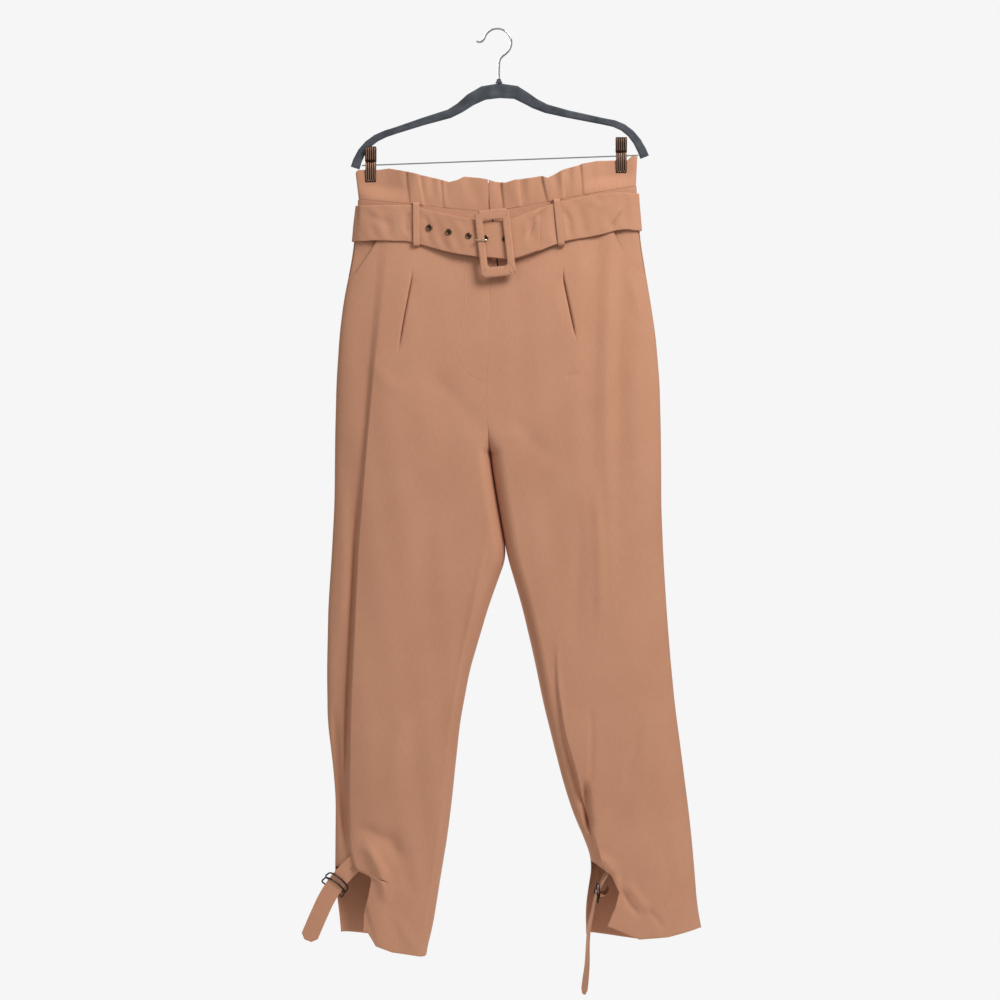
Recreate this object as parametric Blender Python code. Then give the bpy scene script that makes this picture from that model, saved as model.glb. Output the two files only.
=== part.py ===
"""Paperbag waist trousers with a belt and ankle straps, held by a clip hanger.

Metres, +Z up. The origin is the inside top of the hook, where it hangs on a rail. The front faces -Y.
Right and left are the wearer's, so the right leg is at -X.
"""
from collections import namedtuple
from math import cos, pi, radians, sin, sqrt

import bmesh
import bpy
import numpy as np

# Driving sizes
GAP = 0.0003
CLOTH = 0.0012
BELT_CLOTH = 0.0014
BAND_DROP = 0.040
FRONT_DEPTH = ((-0.15, 0.013), (-0.27, 0.015), (-0.36, 0.022), (-0.50, 0.029), (-0.60, 0.033), (-1.50, 0.034))
BACK_DEPTH = ((-0.15, 0.012), (-0.27, 0.013), (-0.36, 0.020), (-0.50, 0.027), (-0.60, 0.032), (-1.50, 0.031))
SIDE_ROUND = 0.50
INNER_ROUND = 0.34
CROTCH_TOP = -0.575
CROTCH_LOW = -0.622
CREASE_EDGE = 0.011
TUCK_EDGE = 0.004

# Hanger
HOOK_WIRE = 0.0015
HOOK_RADIUS = 0.0190
HANGER_THICK = 0.0055
BAR_WIRE = 0.0010
CLIP_WIDTH = 0.0166
SPRING_RADIUS = 0.0042

# Levels of the leg sections below the waistband: near the waist and the hem they tilt with both edges.
LEVELS = (-0.311, -0.345, -0.385, -0.430, -0.490, -0.545, -0.575, -0.595, -0.610, -0.625, -0.670, -0.720,
          -0.775, -0.840, -0.910, -0.980, -1.050, -1.110, -1.160, -1.205, -1.240, -1.275, -1.310, -1.345)
TILT_FROM = -0.500
HEM_FROM = -1.150

Outline = namedtuple("Outline", "z side inner")
Fold = namedtuple("Fold", "z x outward inward reach")
Leg = namedtuple("Leg", "name sign outline crease tuck waist hem_front hem_back start end")

RIGHT_OUTLINE = [Outline(*row) for row in (
    (-0.200, -0.2070, -0.0130), (-0.251, -0.2045, -0.0130), (-0.292, -0.2090, -0.0110),
    (-0.325, -0.2120, -0.0105),
    (-0.354, -0.2170, -0.0100), (-0.401, -0.2265, -0.0105), (-0.450, -0.2325, -0.0120),
    (-0.520, -0.2370, -0.0150),
    (-0.600, -0.2390, -0.0140), (-0.655, -0.2395, -0.0070), (-0.700, -0.2400, 0.0005),
    (-0.775, -0.2440, 0.0140),
    (-0.850, -0.2490, -0.0130), (-0.945, -0.2510, -0.0410), (-1.020, -0.2500, -0.0550),
    (-1.085, -0.2420, -0.0620),
    (-1.134, -0.2380, -0.0670), (-1.190, -0.2385, -0.0740), (-1.250, -0.2390, -0.0840),
    (-1.320, -0.2310, -0.0950),
    (-1.364, -0.2280, -0.1060))]
LEFT_OUTLINE = [Outline(*row) for row in (
    (-0.180, 0.2060, -0.0130), (-0.231, 0.2040, -0.0130), (-0.270, 0.2070, -0.0110),
    (-0.310, 0.2100, -0.0105),
    (-0.354, 0.2170, -0.0100), (-0.401, 0.2250, -0.0105), (-0.450, 0.2325, -0.0120),
    (-0.520, 0.2385, -0.0150),
    (-0.600, 0.2405, -0.0140), (-0.655, 0.2410, -0.0070), (-0.700, 0.2410, 0.0005), (-0.775, 0.2440, 0.0140),
    (-0.850, 0.2485, 0.0360), (-0.922, 0.2540, 0.0530), (-0.995, 0.2610, 0.0680), (-1.063, 0.2700, 0.0850),
    (-1.110, 0.2760, 0.0970), (-1.157, 0.2820, 0.1120), (-1.195, 0.2860, 0.1290), (-1.228, 0.2890, 0.1400),
    (-1.292, 0.2940, 0.1300), (-1.340, 0.3030, 0.1310))]

RIGHT_CREASE = [Fold(*row) for row in (
    (-0.300, -0.158, 0.000, 0.000, 0.060), (-0.384, -0.166, 0.004, 0.000, 0.060),
    (-0.502, -0.180, 0.012, 0.000, 0.060),
    (-0.604, -0.190, 0.017, 0.000, 0.060), (-0.759, -0.203, 0.020, 0.000, 0.060),
    (-0.993, -0.214, 0.018, 0.000, 0.050),
    (-1.110, -0.211, 0.015, 0.000, 0.050), (-1.204, -0.206, 0.006, 0.000, 0.050),
    (-1.350, -0.170, 0.000, 0.000, 0.050))]
RIGHT_TUCK = [Fold(*row) for row in (
    (-0.300, -0.120, 0.000, 0.003, 0.030), (-0.364, -0.126, 0.000, 0.003, 0.030),
    (-0.430, -0.138, 0.000, 0.002, 0.030),
    (-0.475, -0.146, 0.000, 0.000, 0.030), (-0.700, -0.130, 0.000, 0.000, 0.030),
    (-1.350, -0.135, 0.000, 0.000, 0.030))]
LEFT_CREASE = [Fold(*row) for row in (
    (-0.300, 0.166, 0.005, 0.003, 0.030), (-0.384, 0.161, 0.006, 0.004, 0.030),
    (-0.520, 0.158, 0.006, 0.003, 0.030),
    (-0.640, 0.158, 0.003, 0.001, 0.030), (-0.900, 0.170, 0.000, 0.000, 0.030),
    (-1.350, 0.240, 0.000, 0.000, 0.030))]
LEFT_TUCK = [Fold(*row) for row in (
    (-0.300, 0.088, 0.000, 0.003, 0.030), (-0.364, 0.096, 0.000, 0.003, 0.030),
    (-0.420, 0.109, 0.000, 0.002, 0.030),
    (-0.455, 0.115, 0.000, 0.000, 0.030), (-0.700, 0.108, 0.000, 0.000, 0.030),
    (-0.930, 0.096, 0.000, 0.003, 0.030),
    (-1.031, 0.101, 0.000, 0.010, 0.040), (-1.134, 0.128, 0.000, 0.010, 0.040),
    (-1.211, 0.156, 0.000, 0.004, 0.040),
    (-1.350, 0.200, 0.000, 0.000, 0.030))]

# Each edge profile is (share from the side to the inner edge, height).
RIGHT_WAIST = ((0.0, -0.251), (1.0, -0.271))
LEFT_WAIST = ((0.0, -0.231), (1.0, -0.271))
RIGHT_HEM_FRONT = ((0.0, -1.322), (0.30, -1.328), (0.40, -1.348), (0.60, -1.357), (1.0, -1.364))
RIGHT_HEM_BACK = ((0.0, -1.331), (1.0, -1.350))
LEFT_HEM_FRONT = ((0.0, -1.323), (0.30, -1.335), (0.55, -1.338), (0.80, -1.320), (1.0, -1.312))
LEFT_HEM_BACK = ((0.0, -1.325), (0.55, -1.345), (1.0, -1.334))

# Where a front panel stops short of its seam, (height, x): the pocket mouth above, the ankle slit below.
RIGHT_START = ((-0.230, -0.158), (-0.292, -0.166), (-0.325, -0.186), (-0.360, -0.210), (-0.395, -0.300),
               (-1.190, -0.300), (-1.196, -0.236), (-1.206, -0.215), (-1.230, -0.187), (-1.270, -0.185),
               (-1.300, -0.190), (-1.345, -0.198))
LEFT_START = ((-0.210, 0.158), (-0.270, 0.160), (-0.313, 0.178), (-0.356, 0.208), (-0.392, 0.300),
              (-1.400, 0.400))
RIGHT_END = ((-0.200, 0.300), (-1.500, 0.300))
LEFT_END = ((-0.200, -0.100), (-1.215, -0.100), (-1.226, 0.1420), (-1.243, 0.166), (-1.269, 0.178),
            (-1.292, 0.172), (-1.320, 0.161))

LEGS = (Leg("right", -1, RIGHT_OUTLINE, RIGHT_CREASE, RIGHT_TUCK, RIGHT_WAIST, RIGHT_HEM_FRONT,
            RIGHT_HEM_BACK, RIGHT_START, RIGHT_END),
        Leg("left", 1, LEFT_OUTLINE, LEFT_CREASE, LEFT_TUCK, LEFT_WAIST, LEFT_HEM_FRONT, LEFT_HEM_BACK,
            LEFT_START, LEFT_END))

POCKET_LOW = -0.388
POCKET_LAP = 0.014
POCKET_UNDER = 0.0066
POCKET_STEPS = 4

# Paperbag ruffle: top edge (x, height) and the pressed pleats (x at the seam, x at the top, step).
RUFFLE_TOP = ((-0.209, -0.211), (-0.206, -0.207), (-0.176, -0.207), (-0.160, -0.205), (-0.134, -0.210),
              (-0.111, -0.216), (-0.087, -0.2215), (-0.071, -0.226), (-0.059, -0.223), (-0.049, -0.218),
              (-0.026, -0.220), (-0.015, -0.222), (-0.004, -0.2255), (0.012, -0.227), (0.026, -0.2225),
              (0.047, -0.220), (0.065, -0.217), (0.074, -0.220), (0.087, -0.213), (0.098, -0.207),
              (0.117, -0.202), (0.124, -0.199), (0.148, -0.194), (0.173, -0.193), (0.192, -0.1925),
              (0.199, -0.186), (0.206, -0.187))
Pleat = namedtuple("Pleat", "seam top step")
FRONT_PLEATS = [Pleat(*row) for row in (
    (-0.128, -0.133, 0.0035), (-0.108, -0.116, -0.0035), (-0.078, -0.082, 0.0030), (0.010, 0.006, 0.0035),
    (0.034, 0.029, -0.0030), (0.074, 0.066, 0.0040), (0.098, 0.096, -0.0035), (0.127, 0.123, 0.0035))]
BACK_PLEATS = [Pleat(*row) for row in (
    (-0.120, -0.126, -0.0035), (-0.072, -0.070, 0.0035), (-0.030, -0.034, -0.0030), (0.026, 0.030, 0.0035),
    (0.070, 0.074, -0.0035), (0.118, 0.122, 0.0035))]
PLEAT_EDGE = 0.0018
RUFFLE_SPLIT = -0.0135
CLIP_X = (-0.187, 0.1825)
CLIP_HOLD = 0.0015
CLIP_FREE = 0.062

# Belt: (x, top, bottom) across the front, and the same across the back.
BELT_FRONT = ((-0.207, -0.260, -0.313), (-0.175, -0.2605, -0.312), (-0.128, -0.2605, -0.3145),
              (-0.114, -0.265, -0.318),
              (-0.087, -0.2715, -0.3265), (-0.058, -0.278, -0.333), (-0.024, -0.285, -0.338),
              (0.016, -0.284, -0.342),
              (0.029, -0.278, -0.3395), (0.055, -0.268, -0.331), (0.077, -0.260, -0.322),
              (0.100, -0.254, -0.3135),
              (0.135, -0.246, -0.3075), (0.164, -0.242, -0.301), (0.183, -0.241, -0.295),
              (0.204, -0.242, -0.297))
BELT_BACK = ((0.204, -0.242, -0.297), (0.120, -0.247, -0.301), (0.0, -0.253, -0.307),
             (-0.120, -0.257, -0.311),
             (-0.207, -0.260, -0.313))
BELT_STAND = 0.0027
BELT_EASE_FROM = 0.030
BELT_EASE = 0.10
BELT_LEVEL = 0.0315
BUCKLE_X = -0.0035
BUCKLE_Z = -0.3175
BUCKLE_WIDTH = 0.051
BUCKLE_HEIGHT = 0.099
BUCKLE_WINDOW = (0.0290, 0.0690)
BUCKLE_THICK = 0.0045
BUCKLE_TILT = radians(6.5)
EYELETS = (-0.1000, -0.0715, -0.0425, -0.0180, 0.0110)
EYELET_OUTER = 0.0043
EYELET_HOLE = 0.0022
EYELET_THICK = 0.0009
TONGUE_END = 0.062
TONGUE_TRIM = 0.001
BELT_TURN = 0.0062
BELT_TUCK = 0.0025
BAR_RADIUS = 0.0011
BAR_STAND = 0.0024
PRONG_Z = -0.3130
LOOP_STAND = 0.0018

# Ankle straps: middle line and the direction across, from the slit to the free end.
Strap = namedtuple("Strap", "x y z wide_x wide_y wide_z")
STRAPS = {
    "right": [Strap(*row) for row in (
        (-0.1960, -0.0205, -1.2140, 0.74, 0.0, -0.67), (-0.2080, -0.0200, -1.2260, 0.74, 0.0, -0.67),
        (-0.2240, -0.0190, -1.2420, 0.74, 0.0, -0.67), (-0.2360, -0.0185, -1.2560, 0.78, 0.0, -0.62),
        (-0.2450, -0.0180, -1.2690, 0.82, 0.0, -0.57), (-0.2530, -0.0175, -1.2830, 0.87, 0.0, -0.49),
        (-0.2600, -0.0170, -1.2980, 0.91, 0.0, -0.41), (-0.2680, -0.0165, -1.3160, 0.93, 0.0, -0.37),
        (-0.2790, -0.0150, -1.3420, 0.93, 0.0, -0.37))],
    "left": [Strap(*row) for row in (
        (0.1640, -0.0185, -1.2360, 0.55, -0.60, 0.58), (0.1560, -0.0230, -1.2500, 0.45, -0.75, 0.48),
        (0.1490, -0.0200, -1.2640, 0.25, -0.93, 0.25), (0.1440, -0.0180, -1.2780, 0.16, -0.98, 0.10),
        (0.1400, -0.0170, -1.2960, 0.12, -0.99, 0.00), (0.1350, -0.0165, -1.3200, 0.16, -0.98, 0.00),
        (0.1330, -0.0160, -1.3450, 0.16, -0.98, 0.00), (0.1320, -0.0150, -1.3750, 0.24, -0.97, 0.00),
        (0.1295, -0.0145, -1.4000, 0.32, -0.95, 0.00), (0.1270, -0.0145, -1.4210, 0.34, -0.94, 0.00))]}
STRAP_WIDTH = {"right": 0.0255, "left": 0.0240}
RING_AT = {"right": 0.050, "left": 0.029}
RING_LENGTH = 0.036
RING_DEPTH = 0.0125
RING_STEP = 0.0082
RING_WIRE = 0.0012
RING_CLEAR = 0.0027
TAB_ENDS = {"right": ((-0.2230, 0.0045, -1.2440), (-0.2300, -0.0030, -1.2560)),
            "left": ((0.1640, 0.0030, -1.2660), (0.1580, -0.0070, -1.2730))}

# Hanger: centre line of the body with its height, and the ends of the clip bar.
ARM = namedtuple("Arm", "x z height")
HANGER_ARM = [ARM(*row) for row in (
    (-0.2100, -0.2040, 0.0135), (-0.2065, -0.1930, 0.0130), (-0.2000, -0.1800, 0.0120),
    (-0.1910, -0.1690, 0.0110),
    (-0.1790, -0.1600, 0.0105), (-0.1650, -0.1535, 0.0100), (-0.1510, -0.1490, 0.0095),
    (-0.1100, -0.1355, 0.0110),
    (-0.0710, -0.1240, 0.0130), (-0.0550, -0.1150, 0.0150), (-0.0400, -0.1035, 0.0180),
    (-0.0210, -0.0935, 0.0205),
    (0.0030, -0.0900, 0.0215), (0.0270, -0.0925, 0.0195), (0.0420, -0.1010, 0.0170),
    (0.0550, -0.1090, 0.0150),
    (0.0720, -0.1165, 0.0130), (0.1040, -0.1245, 0.0110), (0.1550, -0.1350, 0.0095),
    (0.1720, -0.1385, 0.0100),
    (0.1850, -0.1440, 0.0105), (0.1965, -0.1530, 0.0110), (0.2060, -0.1650, 0.0120),
    (0.2130, -0.1780, 0.0130),
    (0.2170, -0.1880, 0.0135))]
BAR_ENDS = ((-0.2000, -0.2004), (0.2078, -0.1853))

# Columns of the waistband and of the back panels, as shares from the side seam.
BAND_SHARES = (0, 0.006, 0.03, 0.08, 0.16, 0.28, 0.44, 0.62, 0.80, 1.0)
BACK_SHARES = (0, 0.006, 0.03, 0.08, 0.16, 0.28, 0.42, 0.58, 0.72, 0.84, 0.93, 0.98, 1.0)

CLOTH_COLOUR = (0.53, 0.27, 0.18)


def look(rows, name, z):
    """Value of a named column at a height, straight between the rows."""
    keys = [-row.z for row in rows]
    return float(np.interp(-z, keys, [getattr(row, name) for row in rows]))


def along(pairs, key):
    """Second value of the pairs at a key, for keys that rise or fall."""
    keys = [pair[0] for pair in pairs]
    values = [pair[1] for pair in pairs]
    if keys[0] > keys[-1]:
        keys, values = keys[::-1], values[::-1]
    return float(np.interp(key, keys, values))


def smooth(value):
    value = min(1.0, max(0.0, value))
    return value * value * (3 - 2 * value)


def rise(share, reach):
    """Quarter round that lifts the cloth from 0 at a seam to 1 at its reach."""
    rest = 1 - min(1.0, max(0.0, share) / reach)
    return sqrt(max(0.0, 1 - rest * rest))


def crotch_turn(z):
    """0 where the panels meet across the centre, 1 where each leg is its own tube."""
    share = min(1.0, max(0.0, (CROTCH_TOP - z) / (CROTCH_TOP - CROTCH_LOW)))
    return 1 - sqrt(max(0.0, 1 - share * share))


def fold_offset(leg, rows, edge, x, z):
    """How far a fold takes the cloth inwards at x."""
    distance = (x - look(rows, "x", z)) * leg.sign
    drop = look(rows, "outward" if distance > 0 else "inward", z)
    distance = abs(distance)
    return drop * smooth(distance / edge) * (1 - smooth((distance - edge) / look(rows, "reach", z)))


def skin(leg, share, z, front):
    """Middle of the cloth: share 0 is the side seam, 1 the centre seam or the inseam."""
    turn = crotch_turn(z)
    side = look(leg.outline, "side", z)
    inner = look(leg.outline, "inner", z) + leg.sign * (GAP / 2 + CLOTH / 2 * sin(turn * pi / 2))
    x = side + (inner - side) * share
    full = rise(share, SIDE_ROUND) * (1 - turn * (1 - rise(1 - share, INNER_ROUND)))
    if not front:
        return np.array((x, along(BACK_DEPTH, z) * full + GAP / 2, z))
    inwards = fold_offset(leg, leg.crease, CREASE_EDGE, x, z) + fold_offset(leg, leg.tuck, TUCK_EDGE, x, z)
    return np.array((x, -(along(FRONT_DEPTH, z) - inwards) * full - GAP / 2, z))


def level_height(leg, share, level, hem):
    """Height of a section at a share across the panel."""
    waist_tilt = smooth((level - TILT_FROM) / (LEVELS[0] - TILT_FROM))
    hem_tilt = smooth((HEM_FROM - level) / (HEM_FROM - LEVELS[-1]))
    waist_shift = along(leg.waist, share) - BAND_DROP - GAP - LEVELS[0]
    return level + waist_tilt * waist_shift + hem_tilt * (along(hem, share) - LEVELS[-1])


def front_shares(leg, z):
    """Shares of a front panel's columns, which follow its crease and its tuck."""
    side, inner = look(leg.outline, "side", z), look(leg.outline, "inner", z)

    def share_at(x):
        return (x - side) / (inner - side)

    start = min(1.0, max(0.0, share_at(along(leg.start, z))))
    end = max(0.0, min(1.0, share_at(along(leg.end, z)) if leg.sign > 0 and z < -1.2 else 1.0))
    crease, tuck = share_at(look(leg.crease, "x", z)), share_at(look(leg.tuck, "x", z))
    width = abs(inner - side)
    crease_gap, tuck_gap = CREASE_EDGE / width, TUCK_EDGE / width
    knots = [start, crease - crease_gap, crease, tuck, tuck + tuck_gap * (2.5 if leg.sign > 0 else 1.0), end]
    for index in range(1, 5):
        low = knots[0] + 0.012 * index
        high = end - 0.012 * (5 - index)
        knots[index] = min(max(knots[index], low, knots[index - 1] + 0.010), high)
    parts = ((0, 0.03, 0.12, 0.35, 0.68), (0,), (0, 0.5), (0,), (0, 0.3, 0.6, 0.82, 0.94, 0.985))
    shares = []
    for (low, high), inside in zip(zip(knots, knots[1:]), parts):
        shares += [low + (high - low) * part for part in inside]
    return shares + [end]


def unit(vectors):
    return vectors / np.maximum(np.linalg.norm(vectors, axis=-1, keepdims=True), 1e-12)


def grid_normals(grid, hint):
    """Normals of a grid of points, turned towards the hint."""
    across = np.gradient(grid, axis=1)
    down = np.gradient(grid, axis=0)
    normals = unit(np.cross(across, down))
    if float((normals @ np.array(hint)).mean()) < 0:
        normals = -normals
    return normals


def material(name, colour, roughness, metallic):
    made = bpy.data.materials.new(name)
    made.use_nodes = True
    shader = made.node_tree.nodes["Principled BSDF"]
    shader.inputs["Base Color"].default_value = (*colour, 1.0)
    shader.inputs["Roughness"].default_value = roughness
    shader.inputs["Metallic"].default_value = metallic
    return made


def add_object(name, data, colour=CLOTH_COLOUR, roughness=0.85, metallic=0.0):
    made = bpy.data.objects.new(name, data)
    data.materials.append(material(name, colour, roughness, metallic))
    bpy.context.scene.collection.objects.link(made)
    return made


def add_mesh(name, points, faces, **finish):
    """One closed mesh with its faces turned outwards."""
    shape = bmesh.new()
    corners = [shape.verts.new(tuple(float(value) for value in point)) for point in points]
    for face in faces:
        shape.faces.new([corners[index] for index in face])
    bmesh.ops.recalc_face_normals(shape, faces=shape.faces)
    mesh = bpy.data.meshes.new(name)
    shape.to_mesh(mesh)
    shape.free()
    made = add_object(name, mesh, **finish)
    mesh.shade_smooth()
    mesh.set_sharp_from_angle(angle=radians(40))
    return made


def wall(name, grid, normals, thickness=CLOTH, **finish):
    """Closed wall of cloth about a grid of middle points."""
    rows, cols = grid.shape[:2]
    half = rows * cols
    points = np.concatenate(((grid + normals * thickness / 2).reshape(-1, 3),
                             (grid - normals * thickness / 2).reshape(-1, 3)))
    faces = []
    for row in range(rows - 1):
        for col in range(cols - 1):
            a, b = row * cols + col, row * cols + col + 1
            c, d = b + cols, a + cols
            faces += [(a, b, c), (a, c, d), (half + a, half + c, half + b), (half + a, half + d, half + c)]
    rim = list(range(cols)) + [row * cols + cols - 1 for row in range(1, rows)]
    rim += [half - 1 - col for col in range(1, cols)] + [row * cols for row in range(rows - 2, 0, -1)]
    for a, b in zip(rim, rim[1:] + rim[:1]):
        faces += [(a, half + a, half + b), (a, half + b, b)]
    return add_mesh(name, points, faces, **finish)


def seam_normals(leg, grid, normals, at_side, at_inner):
    """Square the walls' rims to their seams, so that the pieces face each other."""
    for row in range(grid.shape[0]):
        if at_side[row]:
            normals[row, 0] = (leg.sign, 0, 0)
        if at_inner[row]:
            turn = crotch_turn(grid[row, -1, 2]) * pi / 2
            facing = -1 if grid[row, -1, 1] < 0 else 1
            normals[row, -1] = (-leg.sign * sin(turn), facing * cos(turn), 0)
    return normals


def leg_front(leg):
    grid, at_side, at_inner = [], [], []
    for level in LEVELS:
        shares = front_shares(leg, level)
        row = []
        for share in shares:
            z = level_height(leg, share, level, leg.hem_front)
            row.append(skin(leg, share, z, True))
        if level > POCKET_LOW - 0.04:
            shares = front_shares(leg, row[0][2])
            row = [skin(leg, share, level_height(leg, share, level, leg.hem_front), True) for share in shares]
        grid.append(row)
        at_side.append(shares[0] < 1e-6)
        at_inner.append(shares[-1] > 1 - 1e-6)
    grid = np.array(grid)
    normals = seam_normals(leg, grid, grid_normals(grid, (0, -1, 0)), at_side, at_inner)
    wall(f"leg_{leg.name}_front", grid, normals)


def leg_back(leg):
    grid = np.array([[skin(leg, share, level_height(leg, share, level, leg.hem_back), False)
                      for share in BACK_SHARES] for level in LEVELS])
    every = [True] * len(LEVELS)
    wall(f"leg_{leg.name}_back", grid, seam_normals(leg, grid, grid_normals(grid, (0, 1, 0)), every, every))


def pocket_facing(leg):
    """The cloth seen behind the slanted pocket mouth, tucked under the front panel."""
    top = leg.waist[0][1] - BAND_DROP - GAP
    grid = []
    for step in range(POCKET_STEPS + 1):
        down = step / POCKET_STEPS
        level = top + (POCKET_LOW - top) * down
        side, inner = look(leg.outline, "side", level), look(leg.outline, "inner", level)
        mouth = max(0.0, (along(leg.start, level) - side) / (inner - side))
        row = []
        for part in (0, 0.08, 0.25, 0.5, 0.75, 1.0):
            share = (mouth + POCKET_LAP / abs(inner - side)) * part
            under = POCKET_UNDER * max(smooth(2 * down), min(1.0, share / max(mouth, 0.02)))
            z = level if step else along(leg.waist, share) - BAND_DROP - GAP
            facing = rise(share, 0.12)
            row.append(skin(leg, share, z, True) + np.array((-leg.sign * (1 - facing), facing, 0)) * under)
        grid.append(row)
    grid = np.array(grid)
    count = POCKET_STEPS + 1
    normals = seam_normals(leg, grid, grid_normals(grid, (0, -1, 0)), [True] * count, [False] * count)
    wall(f"pocket_facing_{leg.name}", grid, normals)


def band_rows(leg, shares, front):
    """Waistband rows between the waist seam and the top of the leg panels."""
    rows = []
    for part in (0.0, 0.33, 0.66, 1.0):
        row = []
        for share in shares:
            seam = along(leg.waist, share)
            row.append(skin(leg, share, seam - GAP - (BAND_DROP - GAP) * part, front))
        rows.append(row)
    return rows


def waistband():
    for leg in LEGS:
        grid = np.array(band_rows(leg, BAND_SHARES, True))
        every = [True] * len(grid)
        normals = seam_normals(leg, grid, grid_normals(grid, (0, -1, 0)), every, every)
        wall(f"waistband_{leg.name}_front", grid, normals)
    right, left = [band_rows(leg, BAND_SHARES, False) for leg in LEGS]
    grid = np.array([a + b[::-1][1:] for a, b in zip(right, left)])
    normals = grid_normals(grid, (0, 1, 0))
    normals[:, 0] = (-1, 0, 0)
    normals[:, -1] = (1, 0, 0)
    wall("waistband_back", grid, normals)


def ruffle_point(share, part, front, pleats, lower):
    """share runs from the right side to the left side, part from the waist seam to the top edge."""
    right, left = LEGS
    top_x = RUFFLE_TOP[0][0] + (RUFFLE_TOP[-1][0] - RUFFLE_TOP[0][0]) * share
    seam_x = right.outline[1].side + (left.outline[1].side - right.outline[1].side) * share
    x = seam_x + (top_x - seam_x) * part
    centre = look(right.outline, "inner", -0.27)
    if x < centre:
        seam_share = (seam_x - right.outline[1].side) / (centre - right.outline[1].side)
        seam = along(right.waist, seam_share)
    else:
        seam_share = (seam_x - left.outline[1].side) / (centre - left.outline[1].side)
        seam = along(left.waist, seam_share)
    z = seam + GAP + (along(RUFFLE_TOP, top_x) - lower - seam - GAP) * part
    depth = along(FRONT_DEPTH if front else BACK_DEPTH, seam) * rise(min(seam_share, 1.0), SIDE_ROUND)
    near = min(abs(x - clip) for clip in CLIP_X)
    hold = smooth((near - CLIP_WIDTH / 2 - 0.001) / CLIP_FREE)
    outside = rise(min(share, 1 - share), 0.02)
    pinched = CLIP_HOLD * outside + max(0.0, depth - CLIP_HOLD) * hold
    depth += (pinched - depth) * smooth(part * 1.9)
    for pleat in pleats:
        line = pleat.seam + (pleat.top - pleat.seam) * part
        distance = x - line
        side = 1 if distance > 0 else -1
        weight = smooth(abs(distance) / PLEAT_EDGE) * (1 - smooth((abs(distance) - PLEAT_EDGE) / 0.016))
        depth += side * pleat.step / 2 * weight * (0.25 + 0.75 * part) * hold
    return np.array((x, (-1 if front else 1) * (depth + GAP / 2), z))


def ruffle_shares(pleats, low, high):
    """Columns at both sides of each pleat's edge and evenly between them."""
    first, last = RUFFLE_TOP[0][0], RUFFLE_TOP[-1][0]
    marks = {round(low, 4), round(high, 4)}
    for pleat in pleats:
        middle = (pleat.seam + pleat.top) / 2
        sides = [middle - PLEAT_EDGE, middle + PLEAT_EDGE]
        marks |= {round(mark, 4) for mark in sides if low < mark < high}
    for step in range(43):
        mark = first + (last - first) * step / 42
        if low < mark < high and min(abs(mark - other) for other in marks) > 0.005:
            marks.add(round(mark, 4))
    shares = [(mark - first) / (last - first) for mark in sorted(marks)]
    if low <= first:
        shares[1:1] = [0.0015, 0.006]
    if high >= last:
        shares[-1:-1] = [1 - 0.006, 1 - 0.0015]
    return shares


def ruffle_piece(name, front, pleats, low, high, lower):
    parts = (0.0, 0.22, 0.48, 0.74, 1.0)
    shares = ruffle_shares(pleats, low, high)
    grid = np.array([[ruffle_point(share, part, front, pleats, lower) for share in shares] for part in parts])
    normals = grid_normals(grid, (0, -1 if front else 1, 0))
    if low <= RUFFLE_TOP[0][0]:
        normals[:, 0] = (-1, 0, 0)
    if high >= RUFFLE_TOP[-1][0]:
        normals[:, -1] = (1, 0, 0)
    wall(name, grid, normals)


def ruffle():
    first, last = RUFFLE_TOP[0][0], RUFFLE_TOP[-1][0]
    ruffle_piece("ruffle_right_front", True, FRONT_PLEATS, first, RUFFLE_SPLIT - 0.0006, 0.0)
    ruffle_piece("ruffle_left_front", True, FRONT_PLEATS, RUFFLE_SPLIT + 0.0006, last, 0.0)
    ruffle_piece("ruffle_back", False, BACK_PLEATS, first, last, 0.002)


def fly():
    """Zip tape behind the centre seam and the underlap behind the tape."""
    right, left = LEGS
    for name, half, under in (("fly_zip", 0.012, CLOTH + 2 * GAP),
                              ("fly_underlap", 0.021, 2 * CLOTH + 5 * GAP)):
        grid = []
        for z in (-0.315, -0.36, -0.41, -0.46, -0.505):
            middle = look(right.outline, "inner", z)
            row = []
            for step in (-1.0, -0.33, 0.33, 1.0):
                x = middle + half * step
                leg = right if step < 0 else left
                side, inner = look(leg.outline, "side", z), look(leg.outline, "inner", z)
                y = skin(leg, (x - side) / (inner - side), z, True)[1]
                row.append((x, y + under, z))
            grid.append(row)
        grid = np.array(grid)
        wall(name, grid, grid_normals(grid, (0, -1, 0)))


def body_y(x, z, front):
    """Middle of the body's cloth at x and z, as if it had no folds."""
    leg = LEGS[0] if x < look(LEGS[0].outline, "inner", z) else LEGS[1]
    side, inner = look(leg.outline, "side", z), look(leg.outline, "inner", z)
    full = rise((x - side) / (inner - side), SIDE_ROUND)
    return -along(FRONT_DEPTH, z) * full if front else along(BACK_DEPTH, z) * full


def belt_edges(x, rows=None):
    """Heights of the belt's top and bottom edges."""
    rows = rows or BELT_FRONT
    return along([row[:2] for row in rows], x), along([(row[0], row[2]) for row in rows], x)


def belt_places(x):
    """Middle of the belt at its two edges: level behind the buckle, close to the body at the sides."""
    share = smooth((abs(x) - BELT_EASE_FROM) / BELT_EASE)
    bodies = [body_y(x, z, True) for z in belt_edges(x)]
    near = [min(bodies) - CLOTH / 2 - BELT_STAND, bodies[1] - CLOTH / 2 - BELT_STAND]
    return [-BELT_LEVEL + (place + BELT_LEVEL) * share for place in near]


def side_turn(leg, heights, angles):
    """Belt rows round a side seam, by angle from the front."""
    rows = []
    for angle in angles:
        turn = radians(angle)
        y = -cos(turn) * BELT_TURN
        out = leg.sign * ((CLOTH / 2 + BELT_STAND) * sin(turn) - BELT_TUCK * (1 - sin(turn)))
        rows.append([(look(leg.outline, "side", z) + out, y, z) for z in heights])
    return rows


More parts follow.
